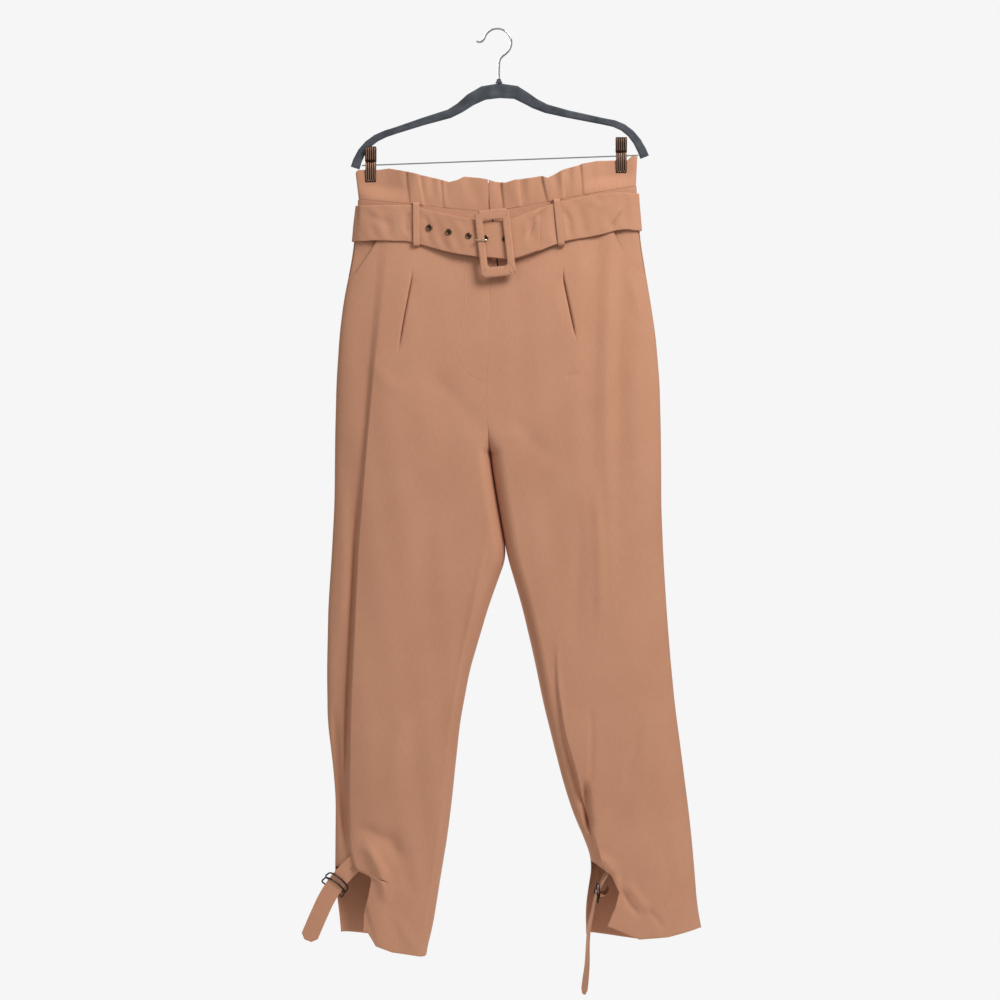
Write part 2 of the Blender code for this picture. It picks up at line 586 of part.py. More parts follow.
def belt_rows():
    """Top and bottom points of the belt, from its end on the centre bar right round to the free tongue."""
    level = -BELT_LEVEL
    behind = level + BAR_STAND + BAR_RADIUS + GAP + BELT_CLOTH / 2
    rows = []

    def add(x, heights, places):
        rows.append([(x, y, z) for y, z in zip(places, heights)])

    for x in (BUCKLE_X - 0.004, BUCKLE_X + 0.010, BUCKLE_X + 0.028):
        add(x, belt_edges(max(x, 0.016)), (behind, behind))
    for x in (0.045, 0.062, 0.080, 0.104, 0.130, 0.155, 0.175, 0.190, 0.199):
        ease = smooth((x - 0.028) / 0.070)
        add(x, belt_edges(x), [behind + (place - behind) * ease for place in belt_places(x)])
    rows += side_turn(LEGS[1], BELT_FRONT[-1][1:], (25, 55, 90, 125, 155))
    for x in (0.199, 0.190, 0.175, 0.150, 0.115, 0.070, 0.020, -0.030, -0.080, -0.120, -0.155, -0.178,
              -0.193, -0.202):
        heights = belt_edges(x, BELT_BACK)
        place = max(body_y(x, z, False) for z in heights) + CLOTH / 2 + BELT_STAND
        add(x, heights, (place, place))
    rows += side_turn(LEGS[0], BELT_FRONT[0][1:], (155, 125, 90, 55, 25))
    for x in (-0.202, -0.193, -0.178, -0.155, -0.130, -0.104, -0.080, -0.058, -0.040, -0.028):
        add(x, belt_edges(x), belt_places(x))
    for x in (-0.010, 0.006, 0.020, 0.035, TONGUE_END):
        top, bottom = belt_edges(x)
        add(x, (top - TONGUE_TRIM, bottom + TONGUE_TRIM), (level, level))
    return rows


def belt():
    rows = belt_rows()
    grid = np.array([[np.array(a) + (np.array(b) - np.array(a)) * part for part in (0, 0.5, 1)]
                     for a, b in rows])
    across = np.gradient(grid, axis=1)
    ahead = np.gradient(grid, axis=0)
    normals = unit(np.cross(across, ahead))
    wall("belt", grid, normals, BELT_CLOTH)


def ribbon(name, rows, width, thickness, turns, **finish):
    """Strap along centre points; turns give the direction across it at each point."""
    centre = np.array(rows, dtype=float)
    across = unit(np.array(turns, dtype=float))
    grid = np.stack([centre + across * width * side / 2 for side in (-1, 0, 1)], axis=1)
    ahead = unit(np.gradient(centre, axis=0))
    normals = unit(np.cross(across, ahead))
    return wall(name, grid, np.repeat(normals[:, None, :], 3, axis=1), thickness, **finish)


def belt_loop(name, x_top, x_bottom, top, bottom, front):
    """Narrow strap over the belt with both ends turned in to the waistband."""
    sign = -1 if front else 1
    rows = []
    for part, out in ((-0.055, 0), (-0.05, 0.55), (-0.02, 0.95), (0.06, 1), (0.5, 1), (0.94, 1), (1.02, 0.95),
                      (1.05, 0.55), (1.055, 0)):
        z = top + (bottom - top) * part
        x = x_top + (x_bottom - x_top) * part
        rest = body_y(x, z, front) + sign * (CLOTH + GAP)
        if front:
            high, low = belt_places(x)
            over = high + (low - high) * min(1.0, max(0.0, part))
        else:
            over = max(body_y(x, edge, False) for edge in belt_edges(x, BELT_BACK)) + CLOTH / 2 + BELT_STAND
        outside = over + sign * (BELT_CLOTH / 2 + CLOTH / 2 + LOOP_STAND)
        rows.append((x, rest + (outside - rest) * out, z))
    ribbon(name, rows, 0.0095, CLOTH, [(1, 0, 0)] * len(rows))


def belt_loops():
    belt_loop("belt_loop_right_front", -0.1195, -0.1190, -0.2600, -0.3195, True)
    belt_loop("belt_loop_left_front", 0.0870, 0.0935, -0.2550, -0.3185, True)
    belt_loop("belt_loop_right_back", -0.1100, -0.1100, -0.2565, -0.3110, False)
    belt_loop("belt_loop_left_back", 0.1100, 0.1100, -0.2475, -0.3020, False)


def rounded_outline(width, height, radius, steps=5):
    """Corner points of a rounded rectangle in the XZ plane, round its middle."""
    points = []
    for turn, (side, end) in enumerate(((1, 1), (-1, 1), (-1, -1), (1, -1))):
        for step in range(steps + 1):
            angle = pi / 2 * (turn + step / steps)
            points.append((side * (width / 2 - radius) + radius * cos(angle),
                           end * (height / 2 - radius) + radius * sin(angle)))
    return points


def frame_between(name, outer, inner, y_low, y_high, place, tilt, **finish):
    """Flat frame between two outlines with the same number of points, with softened outer edges."""
    count = len(outer)
    rings = []
    soft = (y_high - y_low) * 0.3
    for outline, shrink, y in ((inner, 0, y_high), (inner, 0, y_low + soft), (inner, 1, y_low),
                               (outer, 1, y_low), (outer, 0, y_low + soft), (outer, 0, y_high)):
        ring = []
        for x, z in outline:
            factor = 1.0
            if shrink:
                factor = 1 - soft / 0.04 if outline is outer else 1 + soft / 0.03
            turned_x = x * factor * cos(tilt) - z * factor * sin(tilt)
            turned_z = x * factor * sin(tilt) + z * factor * cos(tilt)
            ring.append((place[0] + turned_x, y, place[1] + turned_z))
        rings.append(ring)
    points = [point for ring in rings for point in ring]
    faces = []
    for ring in range(len(rings)):
        for step in range(count):
            a, b = ring * count + step, ring * count + (step + 1) % count
            low = (ring + 1) % len(rings) * count
            faces.append((a, b, low + (step + 1) % count, low + step))
    return add_mesh(name, points, faces, **finish)


def buckle():
    """Covered frame, the centre bar behind the tongue, and the prong over the frame's side."""
    back = -BELT_LEVEL - BELT_CLOTH / 2 - EYELET_THICK - 2 * GAP
    outer = rounded_outline(BUCKLE_WIDTH, BUCKLE_HEIGHT, 0.009)
    inner = rounded_outline(*BUCKLE_WINDOW, 0.004)
    frame_between("buckle_frame", outer, inner, back - BUCKLE_THICK, back, (BUCKLE_X, BUCKLE_Z), BUCKLE_TILT)
    seat, deep = back + BAR_RADIUS + GAP, -BELT_LEVEL + BAR_STAND
    points = []
    for up, y in ((0.0415, seat), (0.0400, seat), (0.0365, deep), (-0.0365, deep), (-0.0400, seat),
                  (-0.0415, seat)):
        points.append((BUCKLE_X - up * sin(BUCKLE_TILT), y, BUCKLE_Z + up * cos(BUCKLE_TILT)))
    wire("buckle_centre_bar", points, BAR_RADIUS, (0.30, 0.27, 0.25))
    face = back - BUCKLE_THICK - BAR_RADIUS - GAP
    wire("buckle_prong", [(-0.0330, face, PRONG_Z), (-0.0170, face, PRONG_Z - 0.0003),
                          (-0.0140, face + 0.0030, PRONG_Z - 0.0008)], BAR_RADIUS, (0.75, 0.70, 0.62))


def wire(name, points, radius, colour, cyclic=False, resolution=2):
    """Round wire through points, with capped ends or closed on itself."""
    curve = bpy.data.curves.new(name, "CURVE")
    curve.dimensions = "3D"
    curve.bevel_depth = radius
    curve.bevel_resolution = resolution
    curve.use_fill_caps = not cyclic
    spline = curve.splines.new("POLY")
    spline.points.add(len(points) - 1)
    for place, point in zip(spline.points, points):
        place.co = (*[float(value) for value in point], 1.0)
    spline.use_cyclic_u = cyclic
    return add_object(name, curve, colour, 0.25, 1.0)


def eyelets():
    """Metal rings in a row on the tongue; the last two lie partly under the buckle's sides."""
    turns = [2 * pi * step / 12 for step in range(12)]
    outer = [(EYELET_OUTER * cos(turn), EYELET_OUTER * sin(turn)) for turn in turns]
    inner = [(EYELET_HOLE * cos(turn), EYELET_HOLE * sin(turn)) for turn in turns]
    for number, x in enumerate(EYELETS, 1):
        top, bottom = belt_edges(x)
        face = min(min(belt_places(edge)) for edge in (x - EYELET_OUTER, x, x + EYELET_OUTER))
        y = face - BELT_CLOTH / 2 - GAP
        centre = (x, top + (bottom - top) * 0.47)
        frame_between(f"eyelet_{number}", outer, inner, y - EYELET_THICK, y, centre, 0.0,
                      colour=(0.20, 0.15, 0.12), roughness=0.35, metallic=1.0)


def ring_frame(rows, distance):
    """Point on a strap's middle line, with the directions along, across and out of its shown face."""
    points = np.array([row[:3] for row in rows])
    wide = unit(np.array([row[3:] for row in rows]))
    steps = np.concatenate(((0.0,), np.cumsum(np.linalg.norm(np.diff(points, axis=0), axis=1))))

    def at(columns, place):
        return np.array([np.interp(place, steps, columns[:, axis]) for axis in range(3)])

    ahead = unit(at(points, distance + 0.006) - at(points, distance - 0.006))
    across = at(wide, distance)
    across = unit(across - ahead * float(across @ ahead))
    face = np.cross(across, ahead)
    shown = face[0] < 0 if abs(face[0]) > 0.6 else face[1] < 0
    return at(points, distance), ahead, across, face if shown else -face


def d_ring(name, rows, distance):
    """D shaped ring round a strap: the bow lies over its face and the straight bar behind it."""
    start, ahead, across, face = ring_frame(rows, distance)
    front = start + face * RING_CLEAR
    back = start + ahead * RING_DEPTH - face * RING_CLEAR
    points = []
    for step in range(13):
        turn = pi * step / 12
        bow = (1 - sin(turn)) * 0.45
        points.append(front + (back - front) * bow + across * cos(turn) * RING_LENGTH / 2)
    points += [back + across * RING_LENGTH * side for side in (-0.5, -0.2, 0.2, 0.5)]
    wire(name, points, RING_WIRE, (0.18, 0.16, 0.15), cyclic=True)


def ankles():
    """Straps with their free ends, two rings on each, and the tabs that hold the rings."""
    for side, rows in STRAPS.items():
        ribbon(f"ankle_strap_{side}", [row[:3] for row in rows], STRAP_WIDTH[side], CLOTH,
               [row[3:] for row in rows])
        for number in (1, 2):
            d_ring(f"d_ring_{side}_{number}", rows, RING_AT[side] + (number - 1) * RING_STEP)
        start, ahead, across, face = ring_frame(rows, RING_AT[side])
        held = start + ahead * RING_DEPTH - face * (RING_CLEAR + RING_WIRE + CLOTH / 2 + GAP)
        tab = [held + ahead * 0.003, held, *TAB_ENDS[side][::-1]]
        ribbon(f"ring_tab_{side}", tab, STRAP_WIDTH[side] * 0.8, CLOTH, [across] * 4)


def hanger_body():
    """Curved body of flocked plastic, with a flat middle and softened edges."""
    centre = np.array([(row.x, row.z) for row in HANGER_ARM])
    ahead = unit(np.gradient(centre, axis=0))
    points, faces = [], []
    section = ((-0.5, -0.30), (-0.32, -0.5), (0.32, -0.5), (0.5, -0.30), (0.5, 0.30), (0.32, 0.5),
               (-0.32, 0.5),
               (-0.5, 0.30))
    for (x, z), (step_x, step_z), row in zip(centre, ahead, HANGER_ARM):
        for thick, high in section:
            up = high * row.height
            points.append((x - step_z * up, thick * HANGER_THICK, z + step_x * up))
    count = len(section)
    for ring in range(len(HANGER_ARM) - 1):
        for step in range(count):
            a, b = ring * count + step, ring * count + (step + 1) % count
            faces.append((a, b, b + count, a + count))
    last = (len(HANGER_ARM) - 1) * count
    faces += [tuple(range(count)), tuple(range(last, last + count))]
    add_mesh("hanger_body", points, faces, colour=(0.09, 0.10, 0.11), roughness=0.95)


def hook():
    """Hook wire: flicked tip, three quarters of a loop, and a stem down to the collar."""
    centre_z = -HOOK_RADIUS
    radius = HOOK_RADIUS + HOOK_WIRE
    points = [(-0.0310, -0.0170), (-0.0270, -0.0183), (-0.0235, -0.0175)]
    for step in range(13):
        angle = radians(165 - step * 215 / 12)
        points.append((radius * cos(angle), centre_z + radius * sin(angle)))
    points += [(0.0085, -0.0385), (0.0047, -0.0425), (0.0028, -0.0475), (0.0022, -0.0540), (0.0020, -0.0722)]
    wire("hanger_hook", [(x, 0.0, z) for x, z in points], HOOK_WIRE, (0.78, 0.78, 0.78))
    points, faces = [], []
    for radius, z in ((0.0026, -0.0725), (0.0040, -0.0765), (0.0058, -0.0789)):
        for step in range(12):
            turn = 2 * pi * step / 12
            points.append((0.0021 + radius * cos(turn), min(radius, 0.0045) * sin(turn), z))
    for ring in range(2):
        for step in range(12):
            a, b = ring * 12 + step, ring * 12 + (step + 1) % 12
            faces.append((a, b, b + 12, a + 12))
    faces += [tuple(range(12)), tuple(range(24, 36))]
    add_mesh("hanger_collar", points, faces, colour=(0.09, 0.10, 0.11), roughness=0.9)


def bar_height(x):
    (low_x, low_z), (high_x, high_z) = BAR_ENDS
    return low_z + (high_z - low_z) * (x - low_x) / (high_x - low_x)


def clips():
    wire("hanger_bar", [(x, 0.0, z) for x, z in BAR_ENDS], BAR_WIRE, (0.75, 0.75, 0.75))
    profile = ((0.0270, 0.0085), (0.0050, 0.0052), (0.0, 0.0050), (-0.0050, 0.0046), (-0.0100, 0.0035),
               (-0.0250, 0.0030))
    for side, x in zip(("right", "left"), CLIP_X):
        z = bar_height(x)
        for face, sign in (("front", -1), ("back", 1)):
            rows = [(x, sign * (out + 0.0003), z + up) for up, out in profile]
            ribbon(f"clip_{side}_{face}", rows, CLIP_WIDTH, 0.0012, [(1, 0, 0)] * len(rows),
                   colour=(0.62, 0.40, 0.28), roughness=0.3, metallic=1.0)
        points, faces = [], []
        for end in (-0.0060, 0.0060):
            for radius in (SPRING_RADIUS, BAR_WIRE + 2 * GAP):
                points += [(x + end, radius * cos(2 * pi * step / 12), z + radius * sin(2 * pi * step / 12))
                           for step in range(12)]
        for a, b in ((0, 24), (36, 12), (12, 0), (24, 36)):
            for step in range(12):
                after = (step + 1) % 12
                faces.append((a + step, a + after, b + after, b + step))
        add_mesh(f"clip_{side}_spring", points, faces, colour=(0.5, 0.5, 0.5), roughness=0.3, metallic=1.0)


def main():
    for old in list(bpy.data.objects):
        bpy.data.objects.remove(old)
    hook()
    hanger_body()
    clips()
    ruffle()
    waistband()
    for leg in LEGS:
        leg_front(leg)
        leg_back(leg)
        pocket_facing(leg)
    fly()
    belt()
    belt_loops()
    buckle()
    eyelets()
    ankles()


main()
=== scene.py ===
"""Paperbag waist trousers on a clip hanger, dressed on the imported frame.

Metres, +Z up, the front faces -Y. Right and left are the wearer's, so the right leg is at -X.
"""
from math import cos, pi, radians, sin

import bmesh
import bpy
import numpy as np
from mathutils import Matrix, Vector


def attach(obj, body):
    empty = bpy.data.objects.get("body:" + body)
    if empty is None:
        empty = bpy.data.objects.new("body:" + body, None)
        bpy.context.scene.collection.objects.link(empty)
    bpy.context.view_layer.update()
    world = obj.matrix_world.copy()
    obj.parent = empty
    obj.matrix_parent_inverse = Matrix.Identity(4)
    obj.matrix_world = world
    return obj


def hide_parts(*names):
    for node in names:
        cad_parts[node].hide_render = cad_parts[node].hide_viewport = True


bl_info = {
    "name": "Paperbag Waist Trousers",
    "version": (1, 0, 0),
    "blender": (4, 5, 0),
    "location": "3D View > Sidebar > Trousers",
    "description": "Builds paperbag waist trousers that hang from a clip hanger",
    "category": "Object",
}

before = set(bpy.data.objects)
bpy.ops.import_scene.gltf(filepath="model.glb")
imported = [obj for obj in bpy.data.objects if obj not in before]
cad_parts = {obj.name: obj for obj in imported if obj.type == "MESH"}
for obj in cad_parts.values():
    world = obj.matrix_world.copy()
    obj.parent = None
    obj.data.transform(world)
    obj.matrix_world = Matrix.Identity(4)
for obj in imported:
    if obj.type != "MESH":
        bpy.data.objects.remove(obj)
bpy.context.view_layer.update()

# Gap between neighbours, lap of two sewn edges, and the two thicknesses of cloth.
GAP = 0.0003
SEAM_LAP = 0.0002
CLOTH = 0.0012
BELT_CLOTH = 0.0014
SMOOTH_ANGLE = radians(40)
# A cut edge rounds off over RIM_SOFT. The first columns are RIM_EDGE apart, on ribbons RIBBON_EDGE.
RIM_SOFT = 0.0012
RIM_EDGE = 0.0006
RIBBON_EDGE = 0.0005
STITCH_SIDES = 6
BAND_DROP = 0.040
SIDE_ROUND = 0.50
INNER_ROUND = 0.085
CROTCH_TOP = -0.575
CROTCH_LOW = -0.622
FRONT_DEPTH = ((-0.15, 0.013), (-0.27, 0.015), (-0.36, 0.022), (-0.5, 0.029), (-0.6, 0.033), (-1.5, 0.034))
BACK_DEPTH = ((-0.15, 0.012), (-0.27, 0.013), (-0.36, 0.02), (-0.5, 0.027), (-0.6, 0.032), (-1.5, 0.031))

# The leg panels end at a tilted waist seam and a tilted hem, and their rows run level between these heights.
TOP_LEVEL = -0.311
LOW_LEVEL = -1.345
TILT_FROM = -0.500
HEM_FROM = -1.150

# Side and inner edge of each leg: height, side x, inner x.
RIGHT_OUTLINE = (
    (-0.2, -0.207, -0.013), (-0.251, -0.2045, -0.013), (-0.292, -0.209, -0.011), (-0.325, -0.212, -0.0105),
    (-0.354, -0.217, -0.01), (-0.401, -0.2265, -0.0105), (-0.45, -0.2325, -0.012), (-0.52, -0.237, -0.015),
    (-0.6, -0.239, -0.014), (-0.655, -0.2395, -0.007), (-0.7, -0.24, 0.0005), (-0.775, -0.244, 0.014),
    (-0.85, -0.249, -0.013), (-0.945, -0.251, -0.041), (-1.02, -0.25, -0.055), (-1.085, -0.242, -0.062),
    (-1.134, -0.238, -0.067), (-1.19, -0.2385, -0.074), (-1.25, -0.239, -0.084), (-1.32, -0.231, -0.095),
    (-1.364, -0.228, -0.106))
LEFT_OUTLINE = (
    (-0.18, 0.206, -0.013), (-0.231, 0.204, -0.013), (-0.27, 0.207, -0.011), (-0.31, 0.21, -0.0105),
    (-0.354, 0.217, -0.01), (-0.401, 0.225, -0.0105), (-0.45, 0.2325, -0.012), (-0.52, 0.2385, -0.015),
    (-0.6, 0.2405, -0.014), (-0.655, 0.241, -0.007), (-0.7, 0.241, 0.0005), (-0.775, 0.244, 0.014),
    (-0.85, 0.2485, 0.036), (-0.922, 0.254, 0.053), (-0.995, 0.261, 0.068), (-1.063, 0.27, 0.085),
    (-1.11, 0.276, 0.097), (-1.157, 0.282, 0.112), (-1.195, 0.286, 0.129), (-1.228, 0.289, 0.14),
    (-1.292, 0.294, 0.13), (-1.34, 0.303, 0.131))

# Folds that run down a panel: height, x, drop on the outer side, drop on the inner side, edge width, reach.
RIGHT_FRONT_FOLDS = (
    ((-0.3, -0.158, 0.001, 0.0, 0.018, 0.08), (-0.384, -0.166, 0.004, 0.0, 0.016, 0.08),
     (-0.502, -0.18, 0.007, 0.0, 0.01, 0.085), (-0.604, -0.19, 0.01, 0.0, 0.006, 0.09),
     (-0.759, -0.203, 0.013, 0.0, 0.005, 0.09), (-0.993, -0.214, 0.018, 0.0, 0.004, 0.08),
     (-1.11, -0.2165, 0.02, 0.0, 0.004, 0.07), (-1.204, -0.2155, 0.012, 0.0, 0.005, 0.06),
     (-1.35, -0.17, 0.0, 0.0, 0.01, 0.05)),
    ((-0.3, -0.1205, 0.0, 0.0, 0.0016, 0.018), (-0.358, -0.1255, 0.0, 0.0, 0.0016, 0.018),
     (-0.376, -0.1275, 0.0, 0.0014, 0.0016, 0.018), (-0.43, -0.138, 0.0, 0.001, 0.0016, 0.018),
     (-0.48, -0.1463, 0.0, 0.0, 0.0016, 0.018), (-1.35, -0.1463, 0.0, 0.0, 0.0016, 0.018)),
)
LEFT_FRONT_FOLDS = (
    ((-0.3, 0.167, 0.005, 0.003, 0.02, 0.03), (-0.384, 0.163, 0.006, 0.004, 0.02, 0.03),
     (-0.52, 0.16, 0.006, 0.003, 0.018, 0.03), (-0.64, 0.158, 0.004, 0.001, 0.018, 0.03),
     (-0.9, 0.17, 0.0, 0.0, 0.018, 0.03), (-1.35, 0.24, 0.0, 0.0, 0.018, 0.03)),
    ((-0.3, 0.09, 0.0, 0.0, 0.0016, 0.018), (-0.358, 0.0958, 0.0, 0.0, 0.0016, 0.018),
     (-0.376, 0.0985, 0.0, 0.0014, 0.0016, 0.018), (-0.42, 0.1075, 0.0, 0.001, 0.0016, 0.018),
     (-0.462, 0.116, 0.0, 0.0, 0.0016, 0.018), (-1.35, 0.116, 0.0, 0.0, 0.0016, 0.018)),
    ((-0.9, 0.088, 0.0, 0.0, 0.006, 0.03), (-0.965, 0.0898, 0.002, 0.004, 0.006, 0.035),
     (-1.031, 0.0991, 0.0, 0.009, 0.006, 0.04), (-1.087, 0.1154, 0.0, 0.012, 0.005, 0.04),
     (-1.134, 0.1272, 0.0, 0.012, 0.004, 0.04), (-1.211, 0.1507, 0.0, 0.006, 0.006, 0.04),
     (-1.29, 0.17, 0.0, 0.0, 0.008, 0.04)),
)
RIGHT_BACK_FOLDS = (
    ((-0.3, -0.11, 0.0, 0.0, 0.008, 0.05), (-0.45, -0.118, 0.002, 0.001, 0.009, 0.05),
     (-0.7, -0.138, 0.005, 0.002, 0.009, 0.055), (-0.98, -0.152, 0.007, 0.003, 0.008, 0.05),
     (-1.18, -0.16, 0.004, 0.002, 0.01, 0.045), (-1.35, -0.166, 0.001, 0.001, 0.01, 0.045)),
    ((-0.3, -0.098, 0.0, 0.0026, 0.003, 0.024), (-0.395, -0.096, 0.0, 0.002, 0.003, 0.022),
     (-0.43, -0.096, 0.0, 0.0, 0.003, 0.02), (-1.35, -0.096, 0.0, 0.0, 0.003, 0.02)),
)
LEFT_BACK_FOLDS = (
    ((-0.3, 0.112, 0.0, 0.0, 0.008, 0.05), (-0.5, 0.122, 0.002, 0.002, 0.009, 0.05),
     (-0.76, 0.148, 0.004, 0.003, 0.01, 0.06), (-1.0, 0.176, 0.006, 0.004, 0.008, 0.05),
     (-1.2, 0.205, 0.003, 0.002, 0.01, 0.045), (-1.35, 0.215, 0.001, 0.001, 0.01, 0.045)),
    ((-0.3, 0.098, 0.0, 0.0026, 0.003, 0.024), (-0.39, 0.096, 0.0, 0.002, 0.003, 0.022),
     (-0.425, 0.096, 0.0, 0.0, 0.003, 0.02), (-1.35, 0.096, 0.0, 0.0, 0.003, 0.02)),
)

# Soft creases: points (x, z) along the line, height outwards (below nothing is a trough), width.
FRONT_CREASES = (
    (((-0.125, -0.35), (-0.127, -0.372), (-0.138, -0.43), (-0.1463, -0.48)), -0.0066, 0.0013),
    (((0.0948, -0.35), (0.0975, -0.372), (0.1075, -0.42), (0.116, -0.462)), -0.0066, 0.0013),
    (((-0.242, -0.99), (-0.236, -1.085), (-0.228, -1.15), (-0.221, -1.228)), -0.015, 0.0062),
    (((-0.199, -0.604), (-0.21, -0.759), (-0.221, -0.993), (-0.224, -1.11), (-0.2225, -1.215)), -0.006,
     0.0034),
    (((-0.228, -0.64), (-0.226, -0.78), (-0.234, -0.93)), 0.003, 0.009),
    (((0.177, -1.238), (0.1755, -1.262), (0.17, -1.3)), 0.005, 0.0045),
    (((-0.006, -0.7), (-0.03, -0.82), (-0.048, -0.905), (-0.07, -1.05)), 0.0016, 0.0045),
    (((-0.09, -0.64), (-0.105, -0.76), (-0.1, -0.9)), -0.0016, 0.018),
    (((-0.13, -0.98), (-0.15, -1.07), (-0.158, -1.16)), 0.002, 0.016),
    (((-0.206, -1.196), (-0.186, -1.21), (-0.17, -1.24), (-0.162, -1.29)), 0.0075, 0.0085),
    (((-0.214, -1.178), (-0.188, -1.18), (-0.158, -1.196), (-0.14, -1.23)), -0.0046, 0.011),
    (((-0.172, -1.15), (-0.14, -1.215), (-0.12, -1.3)), -0.0022, 0.012),
    (((-0.15, -1.3), (-0.132, -1.335), (-0.112, -1.358)), 0.0014, 0.008),
    (((-0.11, -0.5), (-0.06, -0.545), (-0.022, -0.6)), -0.0012, 0.013),
    (((-0.2, -0.47), (-0.165, -0.52), (-0.12, -0.548)), 0.001, 0.011),
    (((0.143, -0.65), (0.15, -0.78), (0.152, -0.9)), 0.0024, 0.0075),
    (((0.12, -0.7), (0.118, -0.82), (0.112, -0.93)), -0.0016, 0.01),
    (((0.1374, -0.985), (0.1385, -1.06), (0.1365, -1.12)), -0.0022, 0.003),
    (((0.1275, -1.1), (0.131, -1.145), (0.137, -1.19)), -0.013, 0.0048),
    (((0.211, -1.01), (0.2, -1.065), (0.183, -1.125)), -0.0024, 0.0065),
    (((0.225, -1.05), (0.212, -1.11), (0.195, -1.17)), 0.0018, 0.009),
    (((0.179, -1.262), (0.1932, -1.286), (0.2101, -1.306)), -0.0032, 0.0042),
    (((0.186, -1.25), (0.205, -1.276), (0.225, -1.3)), 0.0026, 0.006),
    (((0.216, -1.29), (0.233, -1.308), (0.248, -1.326)), -0.002, 0.005),
    (((0.142, -1.215), (0.16, -1.225), (0.176, -1.245)), 0.004, 0.007),
    (((0.24, -1.18), (0.256, -1.24), (0.264, -1.3)), -0.0018, 0.012),
    (((0.097, -0.512), (0.11, -0.5105), (0.123, -0.509)), -0.0012, 0.0022),
    (((0.2, -0.47), (0.16, -0.535), (0.115, -0.56)), 0.001, 0.011),
    (((0.193, -0.36), (0.206, -0.4), (0.213, -0.44)), 0.0022, 0.008),
    (((0.01, -0.56), (0.055, -0.61), (0.095, -0.64)), -0.0012, 0.012),
)
BACK_CREASES = (
    (((-0.04, -0.56), (-0.08, -0.62), (-0.11, -0.7)), 0.0028, 0.011),
    (((0.03, -0.565), (0.085, -0.63), (0.12, -0.715)), 0.003, 0.012),
    (((-0.02, -0.59), (-0.06, -0.65), (-0.085, -0.74)), -0.0024, 0.01),
    (((0.02, -0.6), (0.062, -0.66), (0.09, -0.76)), -0.0026, 0.01),
    (((-0.19, -0.76), (-0.205, -0.9), (-0.2, -1.02)), -0.003, 0.012),
    (((0.2, -0.72), (0.214, -0.88), (0.232, -1.03)), -0.0032, 0.011),
    (((-0.11, -1.06), (-0.128, -1.16), (-0.14, -1.26)), 0.0024, 0.012),
    (((0.16, -1.06), (0.178, -1.15), (0.2, -1.25)), 0.0026, 0.013),
    (((-0.15, -1.215), (-0.18, -1.24), (-0.215, -1.25)), -0.0024, 0.008),
    (((0.25, -1.2), (0.22, -1.235), (0.185, -1.25)), -0.0024, 0.008),
)

# Each edge profile is (share from the side to the inner edge, height).
RIGHT_WAIST = ((0.0, -0.251), (1.0, -0.271))
LEFT_WAIST = ((0.0, -0.231), (1.0, -0.271))
RIGHT_HEM_FRONT = ((0.0, -1.322), (0.3, -1.328), (0.4, -1.348), (0.6, -1.357), (1.0, -1.364))
RIGHT_HEM_BACK = ((0.0, -1.331), (1.0, -1.35))
LEFT_HEM_FRONT = ((0.0, -1.323), (0.3, -1.335), (0.55, -1.338), (0.8, -1.32), (1.0, -1.312))
LEFT_HEM_BACK = ((0.0, -1.325), (0.55, -1.345), (1.0, -1.334))

# Where a front panel stops short of its seam, (height, x): the pocket mouth above, the ankle slit below.
RIGHT_START = (
    (-0.23, -0.158), (-0.292, -0.166), (-0.325, -0.186), (-0.36, -0.21), (-0.395, -0.3), (-1.228, -0.3),
    (-1.234, -0.236), (-1.236, -0.215), (-1.242, -0.19), (-1.25, -0.185), (-1.275, -0.189), (-1.3, -0.195),
    (-1.345, -0.199))
LEFT_START = ((-0.21, 0.158), (-0.27, 0.16), (-0.313, 0.178), (-0.356, 0.208), (-0.392, 0.3), (-1.4, 0.4))
LEFT_END = (
    (-1.215, -0.1), (-1.226, 0.142), (-1.243, 0.166), (-1.269, 0.178), (-1.292, 0.172), (-1.32, 0.161))

# Ripples of hanging cloth: size, width, height. On the legs they start under the belt.
LEG_RIPPLES = (0.0005, 0.08, 0.5)
RUFFLE_RIPPLES = (0.0011, 0.03, 0.3)
BELT_RIPPLES = (0.0005, 0.034, 0.09)
FREE_FROM = -0.3
FREE_FADE = 0.1
LEG_SEED = 11
RUFFLE_SEED = 31
BELT_SEED = 51
BUCKLE_SEED = 7

# Lines that the columns of a panel follow: height, x.
RIGHT_GUIDES = {True: (RIGHT_FRONT_FOLDS[0], RIGHT_FRONT_FOLDS[1]), False: (RIGHT_BACK_FOLDS[1],)}
LEFT_GUIDES = {
    True: (LEFT_FRONT_FOLDS[0],
           ((-0.300, 0.0900), (-0.364, 0.0962), (-0.420, 0.1075), (-0.462, 0.1160), (-0.600, 0.1160),
            (-0.900, 0.0900), (-0.965, 0.0898), (-1.031, 0.0991), (-1.087, 0.1154), (-1.134, 0.1272),
            (-1.211, 0.1507), (-1.290, 0.1700), (-1.350, 0.1750))),
    False: (LEFT_BACK_FOLDS[1],),
}
# Distances of the close columns from such a line.
NEAR = (0.0004, 0.0009, 0.0015, 0.0024)

